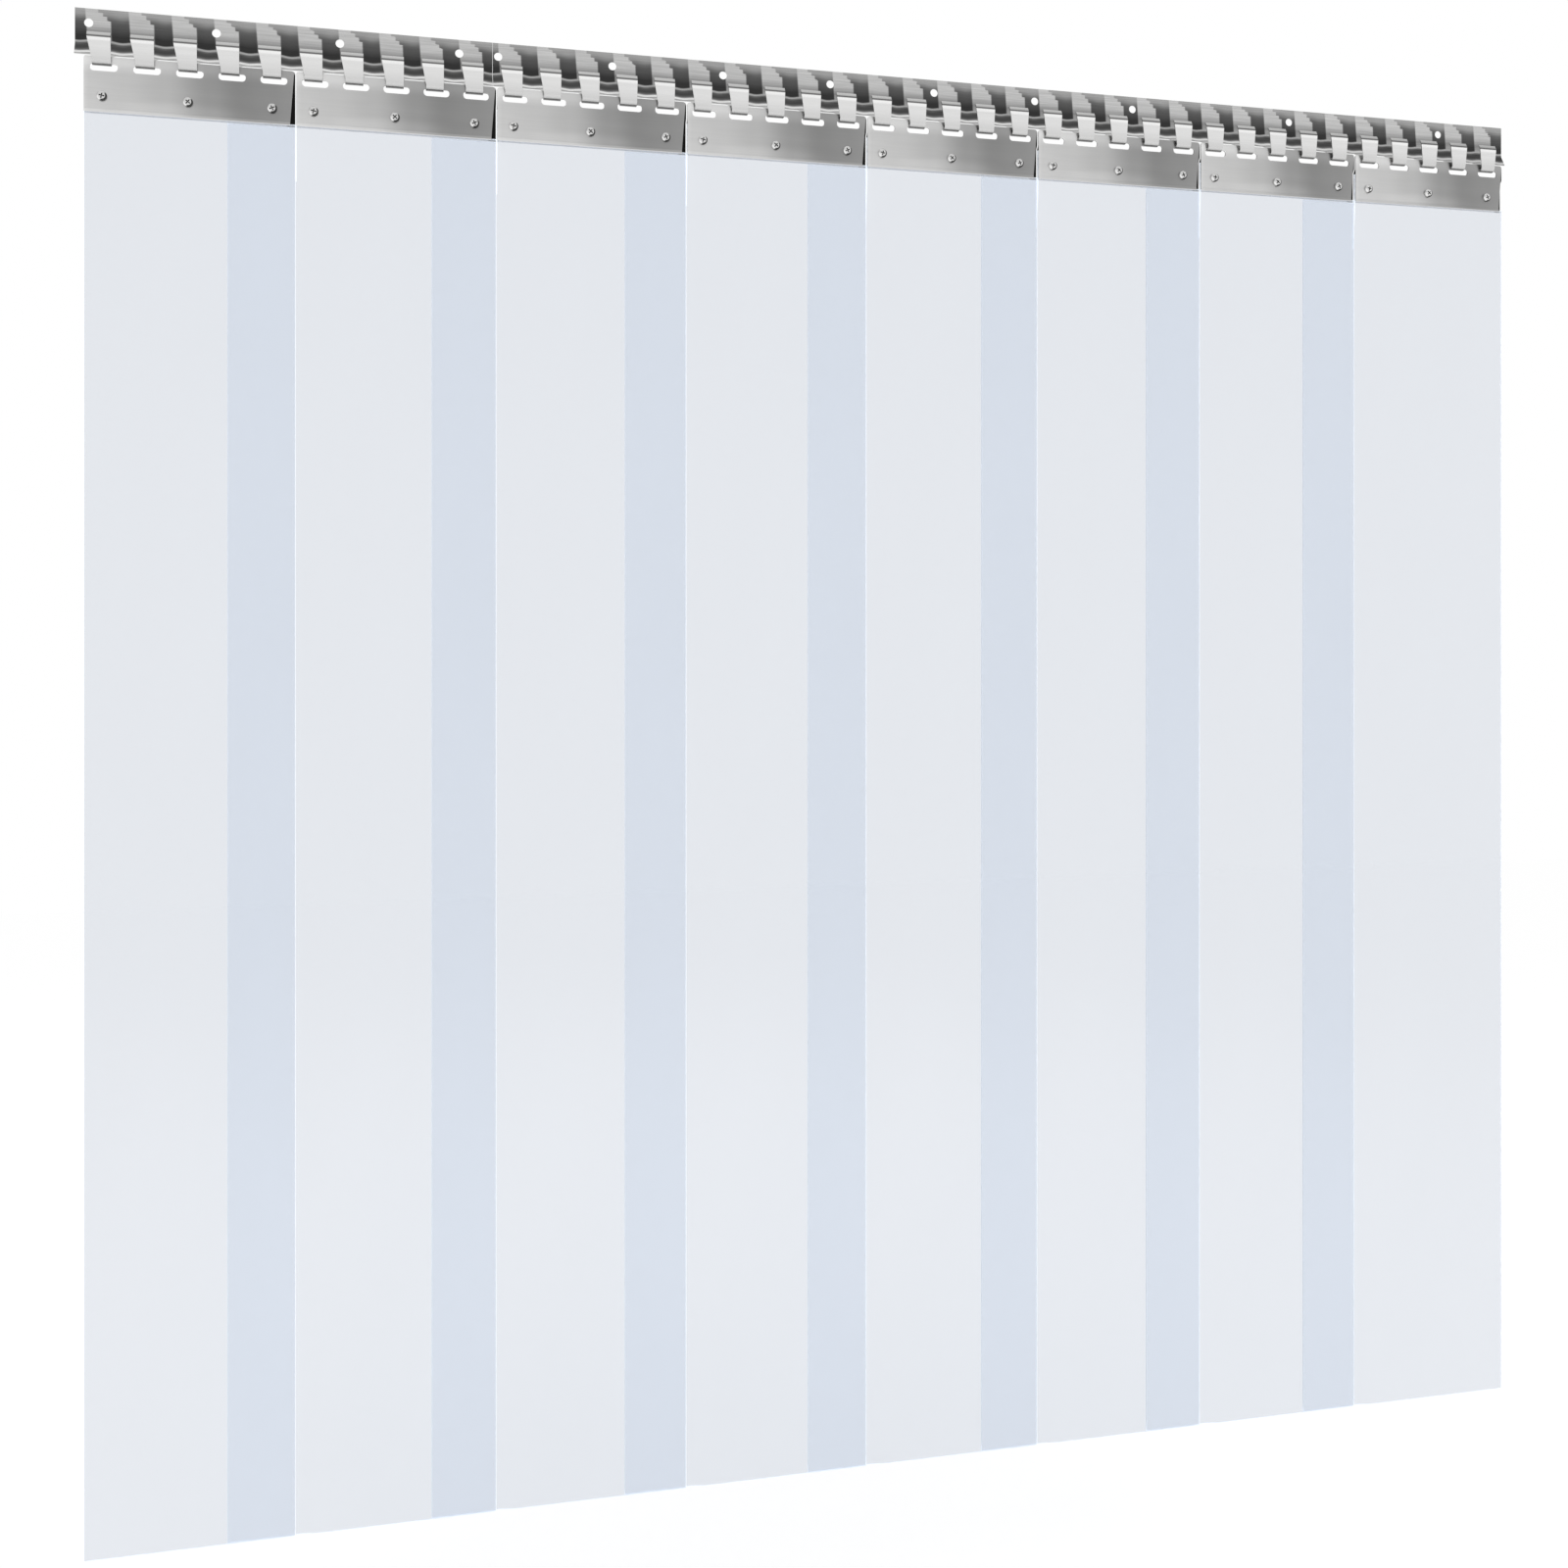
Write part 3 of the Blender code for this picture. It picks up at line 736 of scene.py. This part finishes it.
class Nodes:
    """Short calls that add nodes to one tree."""

    def __init__(self, tree):
        self.tree = tree

    def add(self, kind, settings=None, inputs=None):
        node = self.tree.nodes.new(kind)
        for name, value in (settings or {}).items():
            setattr(node, name, value)
        for name, value in (inputs or {}).items():
            self.put(node.inputs[name], value)
        return node

    def put(self, socket, value):
        if isinstance(value, bpy.types.NodeSocket):
            self.tree.links.new(value, socket)
        else:
            socket.default_value = value

    def math(self, operation, *values):
        node = self.add("ShaderNodeMath", {"operation": operation})
        for socket, value in zip(node.inputs, values):
            self.put(socket, value)
        return node.outputs[0]

    def plus(self, first, second):
        return self.math("ADD", first, second)

    def minus(self, first, second):
        return self.math("SUBTRACT", first, second)

    def times(self, first, second):
        return self.math("MULTIPLY", first, second)

    def over(self, first, second):
        return self.math("DIVIDE", first, second)

    def smooth(self, value, start, end, low=0.0, high=1.0):
        """A smooth step of a value, from low at start to high at end."""
        given = {"Value": value, "From Min": start, "From Max": end, "To Min": low, "To Max": high}
        step = {"interpolation_type": "SMOOTHSTEP"}
        return self.add("ShaderNodeMapRange", step, given).outputs[0]

    def mix(self, factor, first, second):
        """A blend of two numbers."""
        node = self.add("ShaderNodeMix", {"data_type": "FLOAT"})
        for socket, value in zip(node.inputs[0:4], (factor, None, first, second)):
            if value is not None:
                self.put(socket, value)
        return node.outputs[0]

    def ramp(self, value, stops, interpolation="EASE"):
        """The grey of a colour ramp with (place, grey) stops."""
        node = self.add("ShaderNodeValToRGB", None, {"Fac": value})
        made = node.color_ramp
        made.interpolation = interpolation
        while len(made.elements) < len(stops):
            made.elements.new(0.5)
        for element, (place, grey) in zip(made.elements, stops):
            element.position = place
            element.color = (grey, grey, grey, 1)
        return node.outputs[0]

    def graded(self, value, stops):
        """A number that runs straight from stop to stop, each a (length in mm, number) pair."""
        low = stops[0][0]
        reach = stops[-1][0] - low
        share = self.over(self.minus(value, low * MM), reach * MM)
        return self.ramp(share, [((place - low) / reach, tone) for place, tone in stops], "LINEAR")

    def noise(self, vector, scales, detail=2.0, roughness=0.5):
        """Noise that is stretched by a different scale along each axis."""
        scaled = self.add("ShaderNodeVectorMath", {"operation": "MULTIPLY"})
        self.put(scaled.inputs[0], vector)
        scaled.inputs[1].default_value = scales
        inputs = {"Vector": scaled.outputs[0], "Scale": 1.0, "Detail": detail, "Roughness": roughness}
        return self.add("ShaderNodeTexNoise", None, inputs).outputs[0]

    def scaled(self, colour, value):
        """A colour times a number."""
        node = self.add("ShaderNodeVectorMath", {"operation": "SCALE"})
        self.put(node.inputs[0], colour)
        self.put(node.inputs["Scale"], value)
        return node.outputs[0]

    def place(self):
        """Where a point lies on its piece."""
        return self.add("ShaderNodeTexCoord").outputs["Object"]

    def sheet(self):
        """Where a point lies on the flat pattern of its piece: (x, along, depth)."""
        return self.add("ShaderNodeAttribute", {"attribute_name": "sheet"}).outputs["Vector"]

    def split(self, vector):
        return self.add("ShaderNodeSeparateXYZ", None, {"Vector": vector}).outputs

    def bump(self, height, strength, distance):
        inputs = {"Strength": strength, "Distance": distance, "Height": height}
        return self.add("ShaderNodeBump", None, inputs).outputs[0]

    def rays(self):
        return self.add("ShaderNodeLightPath").outputs

    def blend(self, factor, first, second):
        """A blend of two surfaces."""
        node = self.add("ShaderNodeMixShader")
        for socket, value in zip(node.inputs, (factor, first, second)):
            self.put(socket, value)
        return node.outputs[0]


def new_material(name):
    made = bpy.data.materials.new(name)
    made.use_nodes = True
    nodes = Nodes(made.node_tree)
    return made, nodes, made.node_tree.nodes["Principled BSDF"]


# Scales are those of a noise along x, y and z. A pair of tones or the like is what it goes between.

# Brushed steel
STEEL_TINT = (1.0, 0.998, 0.992)
BRIGHTEST = 0.97
GRAIN_SCALES = (14.0, 900.0, 900.0)
GRAIN_DETAIL = (3.0, 0.6)
BROAD_SCALES = (14.0 / 3, 150.0, 150.0)
BROAD_DETAIL = 1.0
BROAD_SHARE = 0.4
GRAIN_BUMP = 0.06
GRAIN_HEIGHT = 0.2 * MM
GRAIN_ROUGHNESS = 0.06
RAIL_ROUGHNESS = 0.24
PLATE_ROUGHNESS = 0.3
RAIL_GRAIN = (0.92, 1.08)
PLATE_GRAIN = (0.93, 1.07)


def brushed(nodes, place):
    """Long fine brush lines along x, and broader faint bands between them."""
    fine = nodes.noise(place, GRAIN_SCALES, *GRAIN_DETAIL)
    broad = nodes.noise(place, BROAD_SCALES, BROAD_DETAIL)
    return nodes.mix(BROAD_SHARE, fine, broad)


def steel(name, roughness):
    """A metal with brush lines, whose colour is still to be set: (material, nodes, place, grain)."""
    made, nodes, shader = new_material(name)
    place = nodes.place()
    grain = brushed(nodes, place)
    shader.inputs["Metallic"].default_value = 1.0
    spread = nodes.mix(grain, roughness - GRAIN_ROUGHNESS, roughness + GRAIN_ROUGHNESS)
    nodes.put(shader.inputs["Roughness"], spread)
    nodes.put(shader.inputs["Normal"], nodes.bump(grain, GRAIN_BUMP, GRAIN_HEIGHT))
    return made, nodes, place, grain


def colour_steel(made, nodes, tone):
    shader = made.node_tree.nodes["Principled BSDF"]
    nodes.put(shader.inputs["Base Color"], nodes.scaled(STEEL_TINT, tone))


# Painted light of the rail, as tones by how far along its sheet they lie, in mm: painted reflections
# of the hooks and of the dark room, and painted highlights and shade at the crease, the ledge's edge
# and the hooks' bottoms and tops. The inner face is the flange's front and the hooks' back, the outer
# one the flange's back and the hooks' front. The first three lists are the inner face's: between the
# painted hook reflections, on them, and below both.
RAIL_OPEN_PAINTED_REFLECTION = [
    (0, 0.5), (6, 0.43), (9.5, 0.3), (12.5, 0.18), (16, 0.13),
    (24, 0.09), (30, 0.048), (35.4, 0.045), (36.4, 0.36),
]
RAIL_LIT = [(0, 0.7), (9, 0.7), (19, 0.64), (24, 0.46), (29, 0.3), (36.4, 0.42)]
RAIL_BELOW_PAINTED_LIGHT = [
    (36.4, 0.46), (37.6, 0.5), (38.8, 0.2), (41, 0.08), (45, 0.06), (48, 0.1), (50, 0.3),
    (51.2, 0.8), (53, 0.82), (54.1, 0.4), (55, 0.4), (56.5, 0.6), (60, 0.4), (67, 0.3),
]
HOOK_FRONT_PAINTED_LIGHT = [
    (67, 0.3), (74.5, 0.18), (76.2, 0.54), (78, 0.65), (84, 0.71), (92, 0.77), (98.5, 0.76),
    (100.5, 0.92), (102.6, 0.9), (103.1, 0.2), (103.8, 0.22), (104.4, 0.5), (108.9, 0.62),
]
HOOK_INNER = 0.5
RAIL_OUTER = 0.58

# Where the painted reflections of the hooks begin and end, in shares of their pitch, by how far along
# the sheet, in mm
LIT_LEFT = [(0, 0.16), (38, 0.22)]
LIT_RIGHT = [
    (0, 0.46), (3.2, 0.46), (3.6, 0.57), (7.2, 0.57),
    (7.6, 0.66), (12.0, 0.67), (12.6, 0.75), (38, 0.77),
]
LIT_SOFTNESS = 0.02
MIRRORED_MIDDLE = -4.2 * MM
MIRRORED_PITCH = HOOK_PITCH + 0.34 * MM

# How far up the sheet the painted tones move at the middle of a painted hook reflection, and between
# which shares of the pitch from there that ends
RISE = 1.6 * MM
RISE_SHARES = (0.2, 0.5)

# Streaks from rolling, and how much they change the tones. They also make the right ends of the
# painted hook reflections ragged.
STREAK_SCALES = (22.0, 700.0, 0.0)
STREAK_WANDER = 5 * MM
RAIL_STREAKS = 0.26
HOOK_STREAKS = 0.04


def mirrored_hooks(nodes, across, along, streaks, phase):
    """1 where the rail's front has a painted reflection of a hook, and 0 elsewhere."""
    wander = nodes.times(nodes.minus(streaks, 0.5), STREAK_WANDER)
    left = nodes.graded(along, LIT_LEFT)
    right = nodes.graded(nodes.plus(along, wander), LIT_RIGHT)
    inside_left = nodes.smooth(nodes.minus(phase, left), -LIT_SOFTNESS, LIT_SOFTNESS)
    inside_right = nodes.smooth(nodes.minus(phase, right), -LIT_SOFTNESS, LIT_SOFTNESS, 1.0, 0.0)
    before_end = nodes.math("LESS_THAN", across, hook_x(HOOKS) + HOOK_PITCH / 2)
    return nodes.times(nodes.times(inside_left, inside_right), before_end)


def rail_steel():
    """Bright rolled sheet, with painted reflections of the hooks and the dark room, and painted
    highlights and shade.
    """
    made, nodes, _, grain = steel("rail_steel_brushed_painted_reflections", RAIL_ROUGHNESS)
    sheet = nodes.sheet()
    across, along, depth = nodes.split(sheet)
    turns = nodes.over(nodes.minus(across, hook_x(1) + MIRRORED_MIDDLE), MIRRORED_PITCH)
    phase = nodes.math("FRACT", nodes.plus(turns, 0.5))
    streaks = nodes.noise(sheet, STREAK_SCALES)
    # Painted light: reflections of the hooks and of the dark room, and highlights and shade at the
    # crease, the ledge's edge and the hooks' bottoms and tops
    lit = mirrored_hooks(nodes, across, along, streaks, phase)
    from_middle = nodes.math("ABSOLUTE", nodes.minus(phase, 0.5))
    level = nodes.plus(along, nodes.smooth(from_middle, *RISE_SHARES, RISE, 0.0))
    above = nodes.mix(lit, nodes.graded(level, RAIL_OPEN_PAINTED_REFLECTION), nodes.graded(level, RAIL_LIT))
    below = nodes.graded(level, RAIL_BELOW_PAINTED_LIGHT)
    is_below = nodes.math("GREATER_THAN", level, RAIL_BELOW_PAINTED_LIGHT[0][0] * MM)
    on_hook = nodes.math("GREATER_THAN", along, RAIL_BELOW_PAINTED_LIGHT[-1][0] * MM)
    inner = nodes.mix(on_hook, nodes.mix(is_below, above, below), HOOK_INNER)
    outer = nodes.mix(on_hook, RAIL_OUTER, nodes.graded(along, HOOK_FRONT_PAINTED_LIGHT))
    on_inner = nodes.math("LESS_THAN", depth, RAIL_SHEET / 2)
    tone = nodes.mix(on_inner, outer, inner)
    spread = nodes.times(nodes.mix(on_hook, RAIL_STREAKS, HOOK_STREAKS), 2.0)
    swing = nodes.times(nodes.minus(streaks, 0.5), spread)
    tone = nodes.times(tone, nodes.plus(swing, 1.0))
    tone = nodes.times(tone, nodes.mix(grain, *RAIL_GRAIN))
    colour_steel(made, nodes, nodes.math("MINIMUM", tone, BRIGHTEST))
    return made


# Painted light of the front plate: a painted reflection by how far along its pitch it lies, lighter at
# the clamp's left end with a painted highlight on that edge, and how much of the painted light that
# rises from its foot reaches there
PLATE_PAINTED_SHADING = [
    (0.0, 0.8), (0.03, 0.73), (0.19, 0.69), (0.37, 0.6),
    (0.59, 0.39), (0.73, 0.31), (0.88, 0.34), (1.0, 0.37),
]
PLATE_GLOW = [(0.1, 0.0), (0.4, 0.75), (0.62, 1.0), (0.82, 0.0)]

# Painted light and shade by height: from where to where, and for the first two the factor there. The
# plate is painted lighter near its top and a little lighter towards its hem, painted light rises from
# its foot, and its fold and foot carry painted highlights.
PLATE_LOWER_PAINTED_SHADING = (PLATE_TOP, HEM_TOP, 0.98, 1.03)
PLATE_UPPER_PAINTED_SHADING = (PLATE_TOP - 20 * MM, PLATE_TOP - 4 * MM, 1.0, 1.26)
GLOW_RISE = (HEM_TOP + 16 * MM, HEM_TOP + 2 * MM)
GLOW_FACTOR = 1.22
FOLD = (HEM_TOP + 0.8 * MM, HEM_TOP - 0.2 * MM)
FOLD_LIGHT = 0.12
FOOT = (PLATE_BOTTOM + 1.2 * MM, PLATE_BOTTOM + 0.6 * MM)
FOOT_PAINTED_LIGHT = 0.93
PLATE_CLOUD_SCALES = (5.0, 30.0, 30.0)
PLATE_CLOUD = (0.9, 1.1)


def front_plate_steel():
    """Satin sheet with a painted reflection lighter at the clamp's left end than at its right, and a
    painted highlight on the fold at its foot.
    """
    made, nodes, place, grain = steel("front_plate_brushed_painted_light", PLATE_ROUGHNESS)
    x, _, z = nodes.split(place)
    width = nodes.over(x, PLATE_PITCH)
    # Painted light and shade: the reflection along the pitch, shading by height, light rising from the
    # foot, and highlights on the fold and the foot
    tone = nodes.times(nodes.ramp(width, PLATE_PAINTED_SHADING), nodes.smooth(z, *PLATE_LOWER_PAINTED_SHADING))
    tone = nodes.times(tone, nodes.smooth(z, *PLATE_UPPER_PAINTED_SHADING))
    glow = nodes.times(nodes.ramp(width, PLATE_GLOW), nodes.smooth(z, *GLOW_RISE))
    tone = nodes.times(tone, nodes.mix(glow, 1.0, GLOW_FACTOR))
    tone = nodes.plus(tone, nodes.times(nodes.smooth(z, *FOLD), FOLD_LIGHT))
    tone = nodes.mix(nodes.smooth(z, *FOOT), tone, FOOT_PAINTED_LIGHT)
    cloud = nodes.noise(place, PLATE_CLOUD_SCALES)
    tone = nodes.times(tone, nodes.mix(cloud, *PLATE_CLOUD))
    tone = nodes.times(tone, nodes.mix(grain, *PLATE_GRAIN))
    colour_steel(made, nodes, nodes.math("MINIMUM", tone, BRIGHTEST))
    return made


# The rear plate has painted shade where the clamp hides it: on its inner face and below its top. Its
# bosses have no place in the flat pattern, so another test leaves them out. Each pair is where a test
# goes from no to yes.
INNER_FACE = (0.3 * MM, 0.1 * MM)
BEFORE_BOSSES = (REAR_FACE + 0.8 * MM, REAR_FACE + 0.2 * MM)
BELOW_TOP = (PLATE_TOP - 2 * MM, PLATE_TOP - 4 * MM)
REAR_TONE = 0.55
HIDDEN_PAINTED_SHADE = 0.012

# Painted light at its foot, except at the clamp's right end
NEAR_FOOT = (HEM_TOP + 8 * MM, HEM_TOP + 2 * MM)
BEFORE_END = (PLATE_PITCH - 8 * MM, PLATE_PITCH - 11 * MM)
REAR_FOOT_PAINTED_LIGHT = 0.9


def rear_plate_steel():
    """The same sheet, with painted shade on the inner face that the clamp hides and painted light at its
    foot.
    """
    made, nodes, place, grain = steel("rear_plate_brushed_painted_light_and_shade", PLATE_ROUGHNESS)
    x, y, z = nodes.split(place)
    inner = nodes.smooth(nodes.split(nodes.sheet())["Z"], *INNER_FACE)
    before_bosses = nodes.smooth(y, *BEFORE_BOSSES)
    # Painted shade where the clamp hides the inner face, and painted light at the foot
    painted_shade = nodes.times(nodes.times(inner, before_bosses), nodes.smooth(z, *BELOW_TOP))
    tone = nodes.mix(painted_shade, REAR_TONE, HIDDEN_PAINTED_SHADE)
    lit_foot = nodes.times(nodes.smooth(z, *NEAR_FOOT), nodes.smooth(x, *BEFORE_END))
    tone = nodes.mix(lit_foot, tone, REAR_FOOT_PAINTED_LIGHT)
    colour_steel(made, nodes, nodes.times(tone, nodes.mix(grain, *PLATE_GRAIN)))
    return made


# Turned steel of the screws, with rings given in radians per metre of radius. Painted shade lies on the
# rim towards +SHADE_X and -SHADE_Z, within these parts of the radius and of the way there, and in the
# recess.
RING_WAVE = 18000.0
RING_LIGHT = 0.03
CLOUD_DETAIL = 3.0
SCREW_CLOUD_SCALES = (500.0, 500.0, 500.0)
SCREW_TONES = (0.7, 0.95)
SCREW_ROUGHNESS = (0.14, 0.3)
SHADE_X = 0.82
SHADE_Z = 0.57
RIM = (0.62 * HEAD / 2, 0.74 * HEAD / 2)
FACING = (0.0, 0.45 * HEAD / 2)
RIM_SHADE = 0.07
RECESS_REACH = RECESS_LENGTH / 2 + 0.1 * MM
RECESS_DEPTHS = (0.2 * MM, 0.7 * MM)
RECESS_SHADE = 0.22


def screw_steel():
    """Bright, with fine rings from the tool, and painted shade in the recess and on the rim's lower
    right.
    """
    made, nodes, shader = new_material("screw_steel_turned_painted_shade")
    place = nodes.place()
    x, y, z = nodes.split(place)
    radius = nodes.math("SQRT", nodes.plus(nodes.times(x, x), nodes.times(z, z)))
    rings = nodes.math("SINE", nodes.times(radius, RING_WAVE))
    cloud = nodes.noise(place, SCREW_CLOUD_SCALES, CLOUD_DETAIL)
    tone = nodes.plus(nodes.mix(cloud, *SCREW_TONES), nodes.times(rings, RING_LIGHT))
    # Painted shade on the rim's lower right and in the recess
    toward = nodes.minus(nodes.times(x, SHADE_X), nodes.times(z, SHADE_Z))
    on_rim = nodes.times(nodes.smooth(radius, *RIM), nodes.smooth(toward, *FACING))
    crown = -CLEARANCE - HEAD_HEIGHT
    deep = nodes.smooth(y, *[crown + depth for depth in RECESS_DEPTHS])
    in_recess = nodes.times(deep, nodes.math("LESS_THAN", radius, RECESS_REACH))
    shade = nodes.times(nodes.mix(on_rim, 1.0, RIM_SHADE), nodes.mix(in_recess, 1.0, RECESS_SHADE))
    colour_steel(made, nodes, nodes.times(tone, shade))
    shader.inputs["Metallic"].default_value = 1.0
    nodes.put(shader.inputs["Roughness"], nodes.mix(cloud, *SCREW_ROUGHNESS))
    return made


# PVC
PVC_IOR = 1.54
PVC_TINT = (0.772, 0.798, 0.842)
FLAP_TINT = (0.87, 0.91, 0.967)
PVC_LINE_SCALES = (260.0, 0.0, 1.5)
PVC_LINE_ROUGHNESS = (0.02, 0.06)
PVC_LINE_BUMP = 0.04
PVC_LINE_HEIGHT = 0.1 * MM
PVC_CLOUD_SCALES = (9.0, 0.0, 4.0)
PVC_CLOUD = (0.99, 1.01)
EDGE_TINT = (0.86, 0.9, 0.94)
EDGE_CLOUD_SCALES = (60.0, 60.0, 20.0)
EDGE_CLOUD = (0.92, 1.0)
EDGE_ROUGHNESS = 0.35
EDGE_TRANSMISSION = 0.35
# A painted glow on the cut edges, for the light they gather
EDGE_GLOW = (0.88, 0.93, 1.0, 1)
EDGE_GLOW_STRENGTH = 0.4


def clear_pvc():
    """Soft clear PVC with faint lines from the extruder, and a cool tint, paler on the flap."""
    made, nodes, shader = new_material("clear_pvc_sheet")
    place = nodes.place()
    lines = nodes.noise(place, PVC_LINE_SCALES)
    cloud = nodes.noise(place, PVC_CLOUD_SCALES, CLOUD_DETAIL)
    tint = nodes.add("ShaderNodeMix", {"data_type": "RGBA"})
    on_flap = nodes.math("LESS_THAN", nodes.split(place)["X"], STRIP_LEFT - STRIP_SIDE_GAP / 2)
    nodes.put(tint.inputs["Factor"], on_flap)
    tint.inputs["A"].default_value = (*PVC_TINT, 1)
    tint.inputs["B"].default_value = (*FLAP_TINT, 1)
    tinted = nodes.scaled(tint.outputs["Result"], nodes.mix(cloud, *PVC_CLOUD))
    nodes.put(shader.inputs["Base Color"], tinted)
    shader.inputs["Transmission Weight"].default_value = 1.0
    shader.inputs["IOR"].default_value = PVC_IOR
    nodes.put(shader.inputs["Roughness"], nodes.mix(lines, *PVC_LINE_ROUGHNESS))
    nodes.put(shader.inputs["Normal"], nodes.bump(lines, PVC_LINE_BUMP, PVC_LINE_HEIGHT))
    clear = nodes.add("ShaderNodeBsdfTransparent", None, {"Color": tinted})
    both = nodes.blend(nodes.rays()["Is Shadow Ray"], shader.outputs[0], clear.outputs[0])
    nodes.put(made.node_tree.nodes["Material Output"].inputs["Surface"], both)
    return made


def pvc_edge():
    """The cut edges of the strips, paler than the faces, with a painted glow for the light they gather.
    """
    made, nodes, shader = new_material("clear_pvc_cut_edge_painted_glow")
    cloud = nodes.noise(nodes.place(), EDGE_CLOUD_SCALES)
    tinted = nodes.scaled(EDGE_TINT, nodes.mix(cloud, *EDGE_CLOUD))
    nodes.put(shader.inputs["Base Color"], tinted)
    shader.inputs["Roughness"].default_value = EDGE_ROUGHNESS
    shader.inputs["Transmission Weight"].default_value = EDGE_TRANSMISSION
    shader.inputs["IOR"].default_value = PVC_IOR
    shader.inputs["Emission Color"].default_value = EDGE_GLOW
    shader.inputs["Emission Strength"].default_value = EDGE_GLOW_STRENGTH
    return made


# Stage, light and camera

WHITE = (1, 1, 1, 1)
FLOOR_HEIGHT = -2.0
FLOOR_SIZE = 14.0
FLOOR_CELLS = 8
FLOOR_CLOUD_SCALES = (3.0, 3.0, 3.0)
FLOOR_TONES = (0.8, 0.84)
FLOOR_ROUGHNESS = 0.9
FLOOR_SEEN_GREY = (0.45, 0.45, 0.45, 1)
FLOOR_SEEN_GLOW = 0.61


def seen_white(nodes, surface, plain, kinds):
    """Shows the plain surface to these kinds of rays, and the given surface to everything else."""
    rays = nodes.rays()
    seen = 0.0
    for kind in kinds:
        seen = nodes.math("MAXIMUM", seen, rays[f"Is {kind} Ray"])
    return nodes.blend(seen, surface, plain)


def build_floor():
    """A pale floor that the camera sees as white, except where the curtain's shadow lies."""
    bm = bmesh.new()
    cells = FLOOR_CELLS
    bmesh.ops.create_grid(bm, x_segments=cells, y_segments=cells, size=FLOOR_SIZE / 2)
    made, nodes, shader = new_material("pale_floor")
    cloud = nodes.noise(nodes.place(), FLOOR_CLOUD_SCALES)
    tinted = nodes.scaled(WHITE[:3], nodes.mix(cloud, *FLOOR_TONES))
    nodes.put(shader.inputs["Base Color"], tinted)
    shader.inputs["Roughness"].default_value = FLOOR_ROUGHNESS
    shader.inputs["Specular IOR Level"].default_value = 0.0
    shadowed = nodes.add("ShaderNodeBsdfDiffuse", None, {"Color": FLOOR_SEEN_GREY})
    glow = {"Color": WHITE, "Strength": FLOOR_SEEN_GLOW}
    glowing = nodes.add("ShaderNodeEmission", None, glow)
    lit = nodes.add("ShaderNodeAddShader")
    nodes.put(lit.inputs[0], shadowed.outputs[0])
    nodes.put(lit.inputs[1], glowing.outputs[0])
    kinds = ("Camera", "Transmission", "Glossy")
    surface = seen_white(nodes, shader.outputs[0], lit.outputs[0], kinds)
    nodes.put(made.node_tree.nodes["Material Output"].inputs["Surface"], surface)
    floor = add_object("floor", mesh_from(bm, "floor", [made]), (0, 0, FLOOR_HEIGHT))


# Brightness of the room that the metal mirrors, by height: 0 is straight below, 1 straight above
# and 0.5 the horizon
ROOM = [
    (0.0, 1.0), (0.5, 1.0), (0.56, 0.95), (0.62, 0.8),
    (0.72, 0.6), (0.88, 0.6), (0.92, 0.85), (1.0, 0.95),
]
AMBIENT = (0.85, 0.85, 0.85, 1)


def build_world():
    """An even grey for light, the room for mirrored rays, and white behind everything."""
    world = bpy.data.worlds.new("studio")
    bpy.context.scene.world = world
    world.use_nodes = True
    tree = world.node_tree
    nodes = Nodes(tree)
    tree.nodes.remove(tree.nodes["Background"])
    direction = nodes.add("ShaderNodeTexCoord").outputs["Generated"]
    height = nodes.plus(nodes.times(nodes.split(direction)["Z"], 0.5), 0.5)
    colours = (nodes.ramp(height, ROOM, "LINEAR"), AMBIENT, WHITE)
    backgrounds = [nodes.add("ShaderNodeBackground", None, {"Color": colour}) for colour in colours]
    room, ambient, white = [background.outputs[0] for background in backgrounds]
    mirrored = nodes.blend(nodes.rays()["Is Glossy Ray"], ambient, room)
    surface = seen_white(nodes, mirrored, white, ("Camera", "Transmission"))
    nodes.put(tree.nodes["World Output"].inputs["Surface"], surface)


# Place, size and power of each lamp, in metres and watts
LAMPS = {
    "key": ((-1.8, -2.6, 1.6), 2.0, 26.0),
    "fill": ((2.4, -2.8, 0.6), 2.4, 12.0),
    "back": ((0.6, 2.6, 1.4), 2.0, 12.0),
}
LAMP_TARGET = Vector((0, 0, -0.6))


def build_lamps():
    for name, (place, size, power) in LAMPS.items():
        data = bpy.data.lights.new(name, "AREA")
        data.size = size
        data.energy = power
        lamp = add_object(name, data, place)
        lamp.rotation_mode = "QUATERNION"
        lamp.rotation_quaternion = (LAMP_TARGET - Vector(place)).to_track_quat("-Z", "Y")
        lamp.visible_glossy = False
        lamp.visible_transmission = False


# The photograph's view, fitted to the lines of its rail and its strip ends. It is level, and its
# horizon lies on this row of the picture.
CAMERA_PLACE = (-0.633, -2.074, -0.692)
CAMERA_YAW = 14.4 * DEG
CAMERA_LENS = 40
CAMERA_SENSOR = 36
PICTURE_SIDE = 1600
HORIZON_ROW = 657
CAMERA_SHIFT = (HORIZON_ROW - PICTURE_SIDE / 2) / PICTURE_SIDE


def build_camera():
    data = bpy.data.cameras.new("camera")
    data.lens = CAMERA_LENS
    data.sensor_width = CAMERA_SENSOR
    data.shift_y = CAMERA_SHIFT
    camera = add_object("camera", data, CAMERA_PLACE)
    camera.rotation_euler = (90 * DEG, 0, -CAMERA_YAW)
    bpy.context.scene.camera = camera
    bpy.context.scene.view_settings.view_transform = "Standard"


build_camera()
build_world()
build_floor()
build_lamps()
build_rail(rail_steel())
build_clamps(
    {
        "front_plate": front_plate_steel(),
        "rear_plate": rear_plate_steel(),
        "screw": screw_steel(),
        "pvc": clear_pvc(),
        "pvc_edge": pvc_edge(),
    }
)
